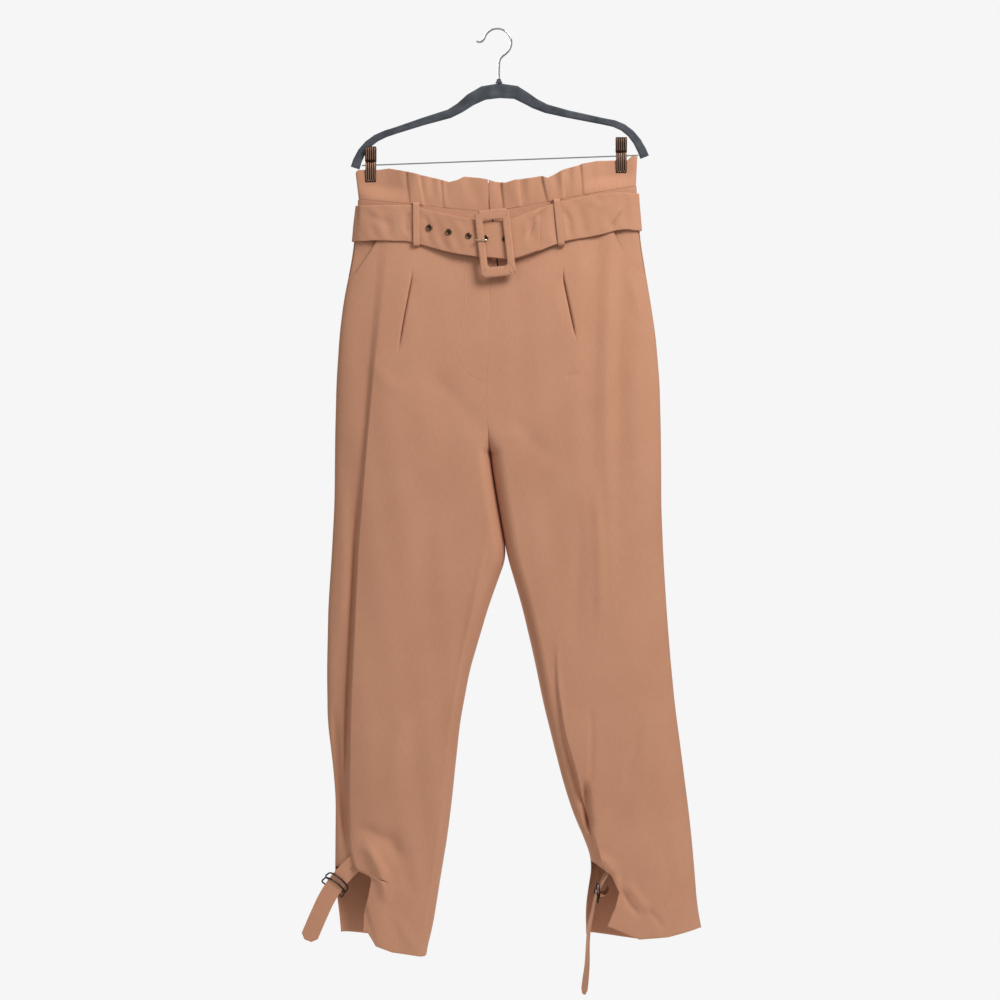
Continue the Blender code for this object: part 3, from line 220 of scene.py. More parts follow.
LEGS = {
    "right": {"sign": -1, "outline": RIGHT_OUTLINE, "waist": RIGHT_WAIST, "start": RIGHT_START, "end": None,
              "guides": RIGHT_GUIDES,
              "folds": {True: RIGHT_FRONT_FOLDS, False: RIGHT_BACK_FOLDS},
              "hem": {True: RIGHT_HEM_FRONT, False: RIGHT_HEM_BACK}},
    "left": {"sign": 1, "outline": LEFT_OUTLINE, "waist": LEFT_WAIST, "start": LEFT_START, "end": LEFT_END,
             "guides": LEFT_GUIDES,
             "folds": {True: LEFT_FRONT_FOLDS, False: LEFT_BACK_FOLDS},
             "hem": {True: LEFT_HEM_FRONT, False: LEFT_HEM_BACK}},
}
POCKET_LOW = -0.388
POCKET_LAP = 0.014
POCKET_UNDER = 0.0058
FACING_INSET = 0.0010

# Paperbag ruffle: top edge (x, height) and the pressed pleats (x at the seam, x at the top, step).
RUFFLE_TOP = (
    (-0.209, -0.211), (-0.206, -0.207), (-0.176, -0.207), (-0.16, -0.205), (-0.134, -0.21),
    (-0.111, -0.216), (-0.087, -0.2215), (-0.071, -0.226), (-0.059, -0.223), (-0.049, -0.218),
    (-0.026, -0.22), (-0.015, -0.222), (-0.004, -0.2255), (0.012, -0.227), (0.026, -0.2225), (0.047, -0.22),
    (0.065, -0.217), (0.074, -0.22), (0.087, -0.213), (0.098, -0.207), (0.117, -0.202), (0.124, -0.199),
    (0.148, -0.194), (0.173, -0.193), (0.192, -0.1925), (0.199, -0.186), (0.206, -0.187))
FRONT_PLEATS = (
    (-0.128, -0.133, 0.0036), (-0.108, -0.116, -0.0036), (-0.078, -0.082, 0.0032), (0.01, 0.006, 0.0042),
    (0.034, 0.029, -0.0036), (0.074, 0.066, 0.0046), (0.098, 0.096, -0.004), (0.127, 0.123, 0.0042))
BACK_PLEATS = (
    (-0.12, -0.126, -0.0036), (-0.072, -0.07, 0.0036), (-0.03, -0.034, -0.0032), (0.026, 0.03, 0.0036),
    (0.07, 0.074, -0.0036), (0.118, 0.122, 0.0036))
PLEAT_EDGE = 0.0014
PLEAT_REACH = 0.016
RUFFLE_SPLIT = -0.0135
BACK_LOWER = 0.002
CLIP_X = (-0.187, 0.1825)
CLIP_HOLD = 0.0015
CLIP_FREE = 0.062
CLIP_WIDTH = 0.0166
RIB_STEP = 0.0031
# A jaw's height from the bar, and its distance from the cloth's middle.
JAW_PROFILE = ((0.027, 0.0085), (0.005, 0.0052), (0.0, 0.005), (-0.005, 0.0046), (-0.01, 0.0035),
               (-0.025, 0.003))
PLATE_THICK = 0.0011
COIL_RADIUS = 0.003
COIL_LENGTH = 0.0104
COIL_WIRE = 0.00055

# Belt: (x, top, bottom) across the front, and the same across the back.
BELT_FRONT = (
    (-0.207, -0.26, -0.313), (-0.175, -0.2605, -0.312), (-0.128, -0.2605, -0.3145),
    (-0.114, -0.265, -0.318), (-0.087, -0.2715, -0.3265), (-0.058, -0.278, -0.333),
    (-0.024, -0.285, -0.338), (0.016, -0.284, -0.342), (0.029, -0.278, -0.3395), (0.055, -0.268, -0.331),
    (0.077, -0.26, -0.322), (0.1, -0.254, -0.3135), (0.135, -0.246, -0.3075), (0.164, -0.242, -0.301),
    (0.183, -0.241, -0.295), (0.204, -0.242, -0.297))
BELT_BACK = (
    (0.204, -0.242, -0.297), (0.12, -0.247, -0.301), (0.0, -0.253, -0.307), (-0.12, -0.257, -0.311),
    (-0.207, -0.26, -0.313))
BELT_WIDTH = 0.055
BELT_STAND = 0.0027
BELT_EASE_FROM = 0.030
BELT_EASE = 0.10
BELT_LEVEL = 0.0315
BELT_TURN = 0.0062
CALM_REACH = 0.052
CALM_FADE = 0.018
FRONT_FROM = 0.010
FRONT_FADE = 0.006
BELT_TUCK = 0.0025
LOOP_STAND = 0.0018
LOOP_WIDTH = 0.0095
# Loops: x at the top and at the bottom, height of the top and of the bottom.
LOOPS = {
    "right_front": (-0.1195, -0.119, -0.26, -0.3178),
    "left_front": (0.087, 0.0935, -0.255, -0.317),
    "right_back": (-0.11, -0.11, -0.2565, -0.311),
    "left_back": (0.11, 0.11, -0.2475, -0.302),
}
BAR_RADIUS = 0.0011
BAR_STAND = 0.0024
TONGUE_END = 0.062
BELT_CREASES = (
    (((0.077, -0.262), (0.054, -0.283), (0.041, -0.315)), -0.0022, 0.0034),
    (((0.068, -0.262), (0.046, -0.283), (0.036, -0.312)), 0.0014, 0.004),
    (((0.185, -0.267), (0.174, -0.282), (0.1645, -0.2965)), -0.003, 0.0012),
    (((0.094, -0.262), (0.106, -0.285), (0.104, -0.31)), -0.0014, 0.005),
    (((0.128, -0.25), (0.15, -0.262), (0.168, -0.266)), 0.001, 0.006),
    (((-0.128, -0.268), (-0.136, -0.288), (-0.131, -0.308)), -0.0014, 0.0046),
    (((-0.108, -0.272), (-0.1, -0.292), (-0.104, -0.312)), -0.0012, 0.0044),
    (((-0.195, -0.272), (-0.172, -0.284), (-0.15, -0.288)), -0.0012, 0.006),
    (((-0.06, -0.284), (-0.046, -0.304), (-0.034, -0.33)), 0.001, 0.007),
)
BUCKLE_X = -0.0035
BUCKLE_Z = -0.3175
BUCKLE_SIZE = (0.051, 0.099)
BUCKLE_WINDOW = (0.029, 0.069)
BUCKLE_THICK = 0.0045
BUCKLE_TILT = radians(6.5)
BUCKLE_STEPS = 220
STITCH_INSET = 0.0045
EYELETS = (-0.1, -0.0715, -0.0425, -0.018, 0.011)
EYELET_THICK = 0.0009
EYELET_DOWN = 0.47
EYELET_RADIUS = 0.0036
EYELET_HOLE = 0.0025
PRONG_Z = -0.3130
FLY_TOP = -0.315
FLY_LOW = -0.505
FLY_STITCH = (
    (-0.0478, -0.342), (-0.0478, -0.4148), (-0.056, -0.448), (-0.0584, -0.4686), (-0.0534, -0.4889),
    (-0.0416, -0.5058), (-0.03, -0.5135), (-0.0165, -0.5176))

# Ankle straps: middle line (x, y, z) and the direction across, from the slit to the free end.
STRAPS = {
    "right": (
        (-0.1960, -0.0205, -1.2140, 0.74, 0.0, -0.67), (-0.2080, -0.0200, -1.2260, 0.74, 0.0, -0.67),
        (-0.2240, -0.0190, -1.2420, 0.74, 0.0, -0.67), (-0.2360, -0.0185, -1.2560, 0.78, 0.0, -0.62),
        (-0.2450, -0.0180, -1.2690, 0.82, 0.0, -0.57), (-0.2530, -0.0175, -1.2830, 0.87, 0.0, -0.49),
        (-0.2600, -0.0170, -1.2980, 0.91, 0.0, -0.41), (-0.2680, -0.0165, -1.3160, 0.93, 0.0, -0.37),
        (-0.2790, -0.0150, -1.3420, 0.93, 0.0, -0.37)),
    "left": (
        (0.1640, -0.0185, -1.2360, 0.55, -0.60, 0.58), (0.1560, -0.0230, -1.2500, 0.45, -0.75, 0.48),
        (0.1490, -0.0200, -1.2640, 0.25, -0.93, 0.25), (0.1440, -0.0180, -1.2780, 0.16, -0.98, 0.10),
        (0.1400, -0.0170, -1.2960, 0.12, -0.99, 0.00), (0.1350, -0.0165, -1.3200, 0.16, -0.98, 0.00),
        (0.1330, -0.0160, -1.3450, 0.16, -0.98, 0.00), (0.1320, -0.0150, -1.3750, 0.24, -0.97, 0.00),
        (0.1295, -0.0145, -1.4000, 0.32, -0.95, 0.00), (0.1270, -0.0145, -1.4210, 0.34, -0.94, 0.00)),
}
STRAP_WIDTH = {"right": 0.0255, "left": 0.0240}
STRAP_LENGTH = {"right": 0.158, "left": 0.192}
STRAP_TIP = 0.42
STRAP_CLIP = 0.0075
TAB_SHARE = 0.8
TAB_LENGTH = {"right": 0.034, "left": 0.024}
RING_AT = {"right": 0.050, "left": 0.029}
RING_LENGTH = 0.036
RING_DEPTH = 0.0125
RING_BOW = 0.45
RING_STEP = 0.0082
RING_WIRE = 0.0012
RING_CLEAR = 0.0027
TAB_ENDS = {"right": ((-0.2230, 0.0045, -1.2440), (-0.2300, -0.0030, -1.2560)),
            "left": ((0.1640, 0.0030, -1.2660), (0.1580, -0.0070, -1.2730))}

BAR_ENDS = ((-0.2, -0.2004), (0.2078, -0.1853))
HOOK_WIRE = 0.0015
HOOK_RADIUS = 0.0205

# Camera, floor and lights.
CAMERA_AWAY = 5.0
CAMERA_ASIDE = 0.0037
CAMERA_HIGH = -0.6938
# The view is this wide at the depth of the cloth.
VIEW_SIDE = 1.47
CLOTH_AHEAD = 0.018
SENSOR = 36.0
FLOOR_Z = -1.60
FLOOR_RADIUS = 1.0
LIGHT_AIM = (0.0, 0.0, -0.3)


# Small helpers

def linear(colour):
    """sRGB hex colour as linear RGBA."""
    parts = [int(colour[place:place + 2], 16) / 255 for place in (1, 3, 5)]
    return [part / 12.92 if part <= 0.04045 else ((part + 0.055) / 1.055) ** 2.4 for part in parts] + [1.0]


def look(rows, column, z):
    """A table's column at a height, or at an array of heights, straight between the rows."""
    return np.interp(-np.asarray(z), [-row[0] for row in rows], [row[column] for row in rows])


def soft_look(rows, column, z):
    """The same as look, with the corners between the rows rounded off."""
    return sum(look(rows, column, z + step) for step in (-0.016, -0.008, 0.0, 0.008, 0.016)) / 5


def along(pairs, key):
    """Second value of the pairs at a key, for keys that rise or fall."""
    keys = [pair[0] for pair in pairs]
    values = [pair[1] for pair in pairs]
    if keys[0] > keys[-1]:
        keys, values = keys[::-1], values[::-1]
    return np.interp(key, keys, values)


def smooth(value):
    value = np.clip(value, 0.0, 1.0)
    return value * value * (3 - 2 * value)


def rise(share, reach):
    """Quarter round that lifts the cloth from 0 at a seam to 1 at its reach."""
    rest = 1 - np.clip(share / reach, 0.0, 1.0)
    return np.sqrt(np.maximum(0.0, 1 - rest * rest))


def unit(vectors):
    return vectors / np.maximum(np.linalg.norm(vectors, axis=-1, keepdims=True), 1e-12)


def ripples(x, z, seed, size, wide, tall, count=14):
    """Gentle uneven waves of hanging cloth, longer downwards than across, of about the given size."""
    draw = np.random.default_rng(seed)
    total = np.zeros(np.broadcast(x, z).shape)
    for _ in range(count):
        turn, phase = draw.normal(0, 0.55), draw.uniform(0, 2 * pi)
        across, down = draw.uniform(0.7, 1.8) / wide, draw.uniform(0.5, 1.7) / tall
        total += np.sin(2 * pi * (x * across + z * (down + turn * across * 0.10)) + phase)
    return total * size / np.sqrt(count)


def crease_offset(creases, x, z):
    """Height that soft creases add at each place. They fade out at both ends."""
    total = np.zeros(np.broadcast(x, z).shape)
    for points, height, width in creases:
        near = np.full(total.shape, 1e9)
        way = np.zeros(total.shape)
        steps = [np.hypot(b[0] - a[0], b[1] - a[1]) for a, b in zip(points, points[1:])]
        for index, (a, b) in enumerate(zip(points, points[1:])):
            part = ((x - a[0]) * (b[0] - a[0]) + (z - a[1]) * (b[1] - a[1])) / steps[index] ** 2
            part = np.clip(part, 0.0, 1.0)
            gap = np.hypot(x - a[0] - (b[0] - a[0]) * part, z - a[1] - (b[1] - a[1]) * part)
            closer = gap < near
            near = np.where(closer, gap, near)
            way = np.where(closer, (sum(steps[:index]) + part * steps[index]) / sum(steps), way)
        total += height * np.exp(-(near / width) ** 2) * smooth(way / 0.3) * smooth((1 - way) / 0.3)
    return total


# The body of the cloth

def crotch_turn(z):
    """0 where the panels meet across the centre, 1 where each leg is its own tube."""
    share = np.clip((CROTCH_TOP - z) / (CROTCH_TOP - CROTCH_LOW), 0.0, 1.0)
    return 1 - np.sqrt(np.maximum(0.0, 1 - share * share))


def fold_offset(leg, folds, x, z):
    """How far the folds that run down the panel take the cloth inwards."""
    total = 0.0
    for rows in folds:
        distance = (x - soft_look(rows, 1, z)) * leg["sign"]
        drop = np.where(distance > 0, look(rows, 2, z), look(rows, 3, z))
        distance = np.abs(distance)
        edge = look(rows, 4, z)
        total = total + drop * smooth(distance / edge) * (1 - smooth((distance - edge) / look(rows, 5, z)))
    return total


def edges(leg, z):
    """x of the side and of the inner edge at a height."""
    apart = leg["sign"] * (CLOTH / 2 - 0.00005) * np.sin(crotch_turn(z) * pi / 2)
    return soft_look(leg["outline"], 1, z), soft_look(leg["outline"], 2, z) + apart


def skin(leg, share, z, front, folded=True):
    """Middle of the cloth: share 0 is the side seam, 1 the centre seam or the inseam."""
    turn = crotch_turn(z)
    side, inner = edges(leg, z)
    x = side + (inner - side) * share
    full = rise(share, SIDE_ROUND) * (1 - turn * (1 - rise(1 - share, INNER_ROUND)))
    depth = along(FRONT_DEPTH if front else BACK_DEPTH, z)
    if folded:
        free = smooth((FREE_FROM - z) / FREE_FADE)
        creases = FRONT_CREASES if front else BACK_CREASES
        depth = depth - fold_offset(leg, leg["folds"][front], x, z) + crease_offset(creases, x, z)
        depth = depth + ripples(x, z, LEG_SEED + leg["sign"] + 4 * front, *LEG_RIPPLES) * free
    return np.stack((x, (-1 if front else 1) * (depth * full + GAP / 2), z + 0 * x), axis=-1)


def level_height(leg, share, level, front):
    """Height of a row at a share across the panel: rows tilt towards the waist seam and the hem."""
    waist_tilt = smooth((level - TILT_FROM) / (TOP_LEVEL - TILT_FROM))
    hem_tilt = smooth((HEM_FROM - level) / (HEM_FROM - LOW_LEVEL))
    waist_shift = along(leg["waist"], share) - BAND_DROP - GAP - TOP_LEVEL
    return level + waist_tilt * waist_shift + hem_tilt * (along(leg["hem"][front], share) - LOW_LEVEL)


def grid_normals(grid, hint):
    """Normals of a grid of points, turned towards the hint."""
    normals = unit(np.cross(np.gradient(grid, axis=1), np.gradient(grid, axis=0)))
    if float((normals @ np.array(hint)).mean()) < 0:
        normals = -normals
    return normals


# Scene objects

def finish_piece(made, finish, slot, *nodes):
    """Gives an object its material and body, and hides the CAD nodes that it stands for. The slot is not
    used.
    """
    made.data.materials.clear()
    made.data.materials.append(finish)
    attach(made, "root")
    if nodes:
        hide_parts(*nodes)
    return made


def outward(mesh):
    """Turns the faces of a closed mesh outwards and smooths them."""
    shape = bmesh.new()
    shape.from_mesh(mesh)
    bmesh.ops.recalc_face_normals(shape, faces=shape.faces)
    shape.to_mesh(mesh)
    shape.free()
    mesh.shade_smooth()


def link(name, data):
    """Object of a mesh, a light or a camera, in the scene."""
    made = bpy.data.objects.new(name, data)
    bpy.context.scene.collection.objects.link(made)
    return made


def add_grid(name, sheets):
    """Mesh from grids of points, each a closed wall of an upper and a lower sheet, with a UV in metres."""
    mesh = bpy.data.meshes.new(name)
    points, faces, uvs = [], [], []
    start = 0
    for upper, lower in sheets:
        rows, cols = upper.shape[:2]
        half = rows * cols
        points += [upper.reshape(-1, 3), lower.reshape(-1, 3)]
        across = np.cumsum(np.pad(np.linalg.norm(np.diff(upper, axis=1), axis=-1), ((0, 0), (1, 0))), axis=1)
        down = np.cumsum(np.pad(np.linalg.norm(np.diff(upper, axis=0), axis=-1), ((1, 0), (0, 0))), axis=0)
        across = across - across[:, cols // 2:cols // 2 + 1]
        uvs += [np.stack((across, -down), axis=-1).reshape(-1, 2)] * 2
        row, col = np.meshgrid(np.arange(rows - 1), np.arange(cols - 1), indexing="ij")
        a = (row * cols + col).reshape(-1)
        top = np.stack((a, a + 1, a + cols + 1, a + cols), axis=-1) + start
        faces += [top, top[:, ::-1] + half]
        rim = list(range(cols)) + [r * cols + cols - 1 for r in range(1, rows)]
        rim += [half - 1 - c for c in range(1, cols)] + [r * cols for r in range(rows - 2, 0, -1)]
        rim = np.array(rim) + start
        after = np.roll(rim, -1)
        faces.append(np.stack((rim, rim + half, after + half, after), axis=-1))
        start += 2 * half
    points, faces, uvs = np.concatenate(points), np.concatenate(faces), np.concatenate(uvs)
    mesh.vertices.add(len(points))
    mesh.vertices.foreach_set("co", points.reshape(-1).astype(np.float32))
    mesh.loops.add(faces.size)
    mesh.loops.foreach_set("vertex_index", faces.reshape(-1).astype(np.int32))
    mesh.polygons.add(len(faces))
    mesh.polygons.foreach_set("loop_start", np.arange(0, faces.size, 4, dtype=np.int32))
    mesh.update(calc_edges=True)
    layer = mesh.uv_layers.new(name="Cloth")
    layer.data.foreach_set("uv", uvs[faces.reshape(-1)].reshape(-1).astype(np.float32))
    outward(mesh)
    return link(name, mesh)


def lay(name, walls, kind, slot, nodes, **cut):
    """Cloth piece from its walls, with its material and the CAD nodes it stands for. Its flat cut is not
    used.
    """
    made = finish_piece(add_grid(name, walls), finish(kind), slot, *nodes)


def cloth_wall(grid, normals, thickness=CLOTH, soft=RIM_SOFT, sewn=None):
    """Upper and lower sheet about a grid of middle points. The rim is rounded over the soft distance.

    sewn marks the rows whose first and last points are at a seam, and whether the top and the bottom row are.
    The wall keeps its thickness there.
    """
    sideways = np.linalg.norm(np.diff(grid, axis=1), axis=-1)
    gone = np.pad(np.cumsum(sideways, axis=1), ((0, 0), (1, 0)))
    left = gone[:, -1:] - gone
    downwards = np.linalg.norm(np.diff(grid, axis=0), axis=-1)
    fallen = np.pad(np.cumsum(downwards, axis=0), ((1, 0), (0, 0)))
    below = fallen[-1:] - fallen
    if sewn is not None:
        gone = np.where(sewn[0][:, None], 1.0, gone)
        left = np.where(sewn[1][:, None], 1.0, left)
        fallen = fallen + (1.0 if sewn[2] else 0.0)
        below = below + (1.0 if sewn[3] else 0.0)
    near = np.minimum(np.minimum(gone, left), np.minimum(fallen, below))
    half = thickness / 2 * (0.35 + 0.65 * rise(near, soft))
    return grid + normals * half[..., None], grid - normals * half[..., None]


def rim_positions(count, edge, length):
    """Even positions from 0 to 1 with one more close to each end, so that a rim can round off."""
    near = edge / length
    inside = list(np.linspace(near * 2.4, 1 - near * 2.4, count))
    return np.array([0.0, near] + inside + [1 - near, 1.0])


def spline(points, count, closed=False):
    """Smooth line through the points, at even distances."""
    points = np.array(points, dtype=float)
    if closed:
        padded = np.concatenate((points[-1:], points, points[:2]))
    else:
        padded = np.concatenate((2 * points[:1] - points[1:2], points, 2 * points[-1:] - points[-2:-1]))
    dense = []
    for index in range(1, len(padded) - 2):
        a, b, c, d = padded[index - 1:index + 3]
        for t in np.linspace(0, 1, 13)[:-1]:
            dense.append(0.5 * (2 * b + (c - a) * t + (2 * a - 5 * b + 4 * c - d) * t * t
                                + (3 * b - a - 3 * c + d) * t ** 3))
    dense.append(padded[-2])
    dense = np.array(dense)
    gone = np.concatenate(((0.0,), np.cumsum(np.linalg.norm(np.diff(dense[:, :3], axis=0), axis=1))))
    places = np.linspace(0, gone[-1], count + 1)[:-1] if closed else np.linspace(0, gone[-1], count)
    return np.stack([np.interp(places, gone, dense[:, axis]) for axis in range(dense.shape[1])], axis=-1)


def deselect():
    if bpy.context.object and bpy.context.object.mode != "OBJECT":
        bpy.ops.object.mode_set(mode="OBJECT")
    bpy.ops.object.select_all(action="DESELECT")


def named(name):
    """The object just added by an operator, renamed."""
    made = bpy.context.object
    made.name = name
    made.data.name = name
    return made


def apply_place(made):
    """Bakes an object's place, turn and size into its mesh."""
    deselect()
    made.select_set(True)
    bpy.context.view_layer.objects.active = made
    bpy.ops.object.transform_apply(location=True, rotation=True, scale=True)
    return made


def join(name, parts):
    """One object from several."""
    deselect()
    for part in parts:
        part.select_set(True)
    bpy.context.view_layer.objects.active = parts[0]
    bpy.ops.object.join()
    return named(name)


def wire(name, points, radius, closed=False, ends=None):
    """Round wire along points, as a mesh. ends gives the share of the radius at each point."""
    deselect()
    bpy.ops.curve.primitive_nurbs_path_add(location=(0, 0, 0))
    made = named(name)
    curve = made.data
    curve.splines.clear()
    line = curve.splines.new("POLY")
    line.points.add(len(points) - 1)
    for index, (place, point) in enumerate(zip(line.points, points)):
        place.co = (*[float(value) for value in point[:3]], 1.0)
        place.radius = 1.0 if ends is None else float(ends[index])
    line.use_cyclic_u = closed
    curve.dimensions = "3D"
    curve.bevel_depth = radius
    curve.bevel_resolution = 4
    curve.use_fill_caps = not closed
    bpy.ops.object.convert(target="MESH")
    made = named(name)
    bpy.ops.object.mode_set(mode="EDIT")
    bpy.ops.mesh.select_all(action="SELECT")
    bpy.ops.mesh.remove_doubles(threshold=1e-6)
    bpy.ops.mesh.normals_make_consistent(inside=False)
    bpy.ops.object.mode_set(mode="OBJECT")
    bpy.ops.object.shade_smooth_by_angle(angle=SMOOTH_ANGLE)
    return made


def block(name, size, place, bevel=0.0, segments=2):
    """Box of a size at a place, with softened edges."""
    deselect()
    bpy.ops.mesh.primitive_cube_add(size=1, location=place)
    made = named(name)
    made.scale = size
    apply_place(made)
    if bevel:
        bpy.ops.object.mode_set(mode="EDIT")
        bpy.ops.mesh.select_all(action="SELECT")
        bpy.ops.mesh.bevel(offset=bevel, segments=segments, affect="EDGES")
        bpy.ops.object.mode_set(mode="OBJECT")
    bpy.ops.object.shade_smooth_by_angle(angle=SMOOTH_ANGLE)
    return made


# Materials

def add_node(tree, kind, values=(), **settings):
    """Adds a node, sets its properties and the given (socket, value or output) pairs."""
    node = tree.nodes.new(kind)
    for key, value in settings.items():
        setattr(node, key, value)
    for socket, value in values:
        if isinstance(value, bpy.types.NodeSocket):
            tree.links.new(value, node.inputs[socket])
        else:
            node.inputs[socket].default_value = value
    return node


def new_material(name, coordinates="Object"):
    """Material, its tree, its shader and the place that its patterns follow."""
    made = bpy.data.materials.new(name)
    made.use_nodes = True
    tree = made.node_tree
    place = add_node(tree, "ShaderNodeTexCoord").outputs[coordinates]
    return made, tree, tree.nodes["Principled BSDF"], place


def noise(tree, place, scale, detail):
    values = [("Vector", place), ("Scale", scale), ("Detail", detail)]
    return add_node(tree, "ShaderNodeTexNoise", values).outputs["Fac"]


def bands(tree, place, scale, direction, distortion=0.0):
    values = [("Vector", place), ("Scale", scale), ("Distortion", distortion)]
    return add_node(tree, "ShaderNodeTexWave", values, bands_direction=direction).outputs["Fac"]


def product(tree, first, second, added=None):
    """first times second, plus added where there is one."""
    values = [(0, first), (1, second)]
    if added is None:
        return add_node(tree, "ShaderNodeMath", values, operation="MULTIPLY").outputs[0]
    return add_node(tree, "ShaderNodeMath", values + [(2, added)], operation="MULTIPLY_ADD").outputs[0]


def remap(tree, value, low, high, to_low=0.0, to_high=1.0):
    return add_node(tree, "ShaderNodeMapRange", [("Value", value), ("From Min", low), ("From Max", high),
                                                 ("To Min", to_low), ("To Max", to_high)]).outputs[0]


def colour_between(tree, shader, factor, first, second):
    """Base colour that runs from the first hex colour to the second."""
    mix = add_node(tree, "ShaderNodeMix", [(0, factor), (6, linear(first)), (7, linear(second))],
                   data_type="RGBA")
    tree.links.new(mix.outputs[2], shader.inputs["Base Color"])


def relief(tree, shader, height, strength, distance):
    """Surface that is bumped by a height, distance in metres."""
    bump = add_node(tree, "ShaderNodeBump", [("Height", height), ("Strength", strength),
                                             ("Distance", distance)])
    tree.links.new(bump.outputs[0], shader.inputs["Normal"])


def constants(shader, values):
    for socket, value in values.items():
        shader.inputs[socket].default_value = value


def crepe(name, light, dark):
    """Polyester crepe in plain weave from overtwisted yarns.

    The twist makes a fine pebble, so the face is matt with a soft bloom at grazing angles. Yarns of uneven
    thickness leave faint broken lines down the cloth, and piece dyeing leaves a slow, slight change of shade.
    """
    made, tree, shader, place = new_material(name, "UV")
    spread = add_node(tree, "ShaderNodeMapping", [("Vector", place), ("Scale", (1.0, 0.12, 1.0))]).outputs[0]
    pebble = noise(tree, place, 1300.0, 2.0)
    slub = noise(tree, spread, 620.0, 3.0)
    shade = noise(tree, place, 9.0, 4.0)
    weave = product(tree, bands(tree, place, 500.0, "X"), bands(tree, place, 440.0, "Y"))
    # The pebble that raises the bump also lightens the colour, so the dips between the grains are painted
    # shade. The slub lines and the slow dye shade are the cloth's own uneven tone.
    mixed = product(tree, shade, 0.35, product(tree, slub, 0.30, product(tree, pebble, 0.45)))
    colour_between(tree, shader, remap(tree, mixed, 0.35, 0.75), dark, light)
    relief(tree, shader, product(tree, weave, 0.35, pebble), 0.28, 0.00025)
    constants(shader, {"Roughness": 0.82, "Specular IOR Level": 0.28, "Sheen Weight": 0.22,
                       "Sheen Roughness": 0.45, "Sheen Tint": linear("#E9C4AE")})
    return made


def twill_tape(name, colour, dark):
    """Woven polyester zip tape: fine ribs across, dull, a shade apart from the crepe."""
    made, tree, shader, place = new_material(name, "UV")
    rib = bands(tree, place, 330.0, "DIAGONAL", 0.6)
    # The same wave bumps the ribs and colours them, so the grooves between the ribs are painted shade.
    colour_between(tree, shader, rib, dark, colour)
    relief(tree, shader, rib, 0.3, 0.0002)
    constants(shader, {"Roughness": 0.8})
    return made


def spun_thread(name, colour, dark):
    """Core spun sewing thread: two plies twisted and slightly glossy. The stitches are banded on the slant,
    the dark bands painted shade in the grooves between the plies.
    """
    made, tree, shader, place = new_material(name)
    colour_between(tree, shader, bands(tree, place, 900.0, "DIAGONAL"), dark, colour)
    constants(shader, {"Roughness": 0.55})
    return made


def metal(name, colour, dark, rough, worn, grain=60.0):
    """Plated metal: rub marks and handling film change the gloss and the tone in small uneven patches."""
    made, tree, shader, place = new_material(name)
    patch = noise(tree, place, grain, 5.0)
    colour_between(tree, shader, patch, dark, colour)
    tree.links.new(remap(tree, patch, 0.3, 0.7, rough, worn), shader.inputs["Roughness"])
    relief(tree, shader, patch, 0.08, 0.0001)
    constants(shader, {"Metallic": 1.0})
    return made


def flocked_plastic(name, colour, dark):
    """Moulded polystyrene with nylon flock blown on: short upright fibres.

    They swallow light seen straight on and catch it at the rims, and the pile is parted in slow patches.
    """
    made, tree, shader, place = new_material(name)
    pile = noise(tree, place, 2600.0, 2.0)
    # The fine pile that bumps the surface also sets the colour, so the dips in the pile are painted shade.
    # The slow patches of parted pile vary the tone.
    level = remap(tree, product(tree, pile, noise(tree, place, 45.0, 3.0)), 0.12, 0.42)
    colour_between(tree, shader, level, dark, colour)
    relief(tree, shader, pile, 0.5, 0.0003)
    constants(shader, {"Roughness": 0.95, "Specular IOR Level": 0.15, "Sheen Weight": 0.55,
                       "Sheen Roughness": 0.35, "Sheen Tint": linear("#A9ADB4")})
    return made


def studio_paint(name, colour, dark):
    """Matt emulsion on a studio floor: roller stipple and faint unevenness, no gloss."""
    made, tree, shader, place = new_material(name)
    colour_between(tree, shader, noise(tree, place, 3.0, 5.0), dark, colour)
    constants(shader, {"Roughness": 0.95, "Specular IOR Level": 0.1})
    return made


made_materials = {}


def finish(name):
    """A material by name, made the first time that it is asked for."""
    settings = bpy.context.scene.trousers_cloth
    light, dark = settings.cloth_light, settings.cloth_dark
    makers = {
        "crepe": lambda: crepe("Polyester crepe", light, dark),
        "belt": lambda: crepe("Interlined belt crepe", light, dark),
        "tape": lambda: twill_tape("Zip tape", "#A56F58", "#8C5B47"),
        "thread": lambda: spun_thread("Sewing thread", "#E6BDA6", "#CC9F86"),
        "hole_shade": lambda: crepe("Cloth in the shade of a hole", "#2A1A13", "#1B100B"),
        # Painted shade for the eyelet holes.
        "rings": lambda: metal("Black nickel plate", "#4A4542", "#2B2725", 0.16, 0.30),
        "eyelets": lambda: metal("Antique brass plate", "#8C6C52", "#5E4636", 0.20, 0.36),
        "prong": lambda: metal("Pale gold plate", "#F2E6D2", "#DCC8AA", 0.18, 0.30),
        "chrome": lambda: metal("Chrome plate", "#D9DBDD", "#B5B8BB", 0.08, 0.18, 90.0),
        "rose": lambda: metal("Rose gold plate", "#D9B299", "#B98E76", 0.16, 0.26),
        # Darker copy of the rose gold for the clip plates, painted shade between the raised ribs.
        "rose_shaded": lambda: metal("Rose gold plate, painted darker as shade between the ribs", "#5A4034", "#3E2B22",
                                  0.3, 0.45),
        "steel": lambda: metal("Spring steel", "#9A9A9A", "#6E6E6E", 0.2, 0.35),
        "flock": lambda: flocked_plastic("Flocked plastic", "#5E6268", "#3B3E43"),
        "floor": lambda: studio_paint("Studio floor", "#EDEDEC", "#E9E9E8"),
    }
    if name not in made_materials:
        made_materials[name] = makers[name]()
    return made_materials[name]


# Pieces

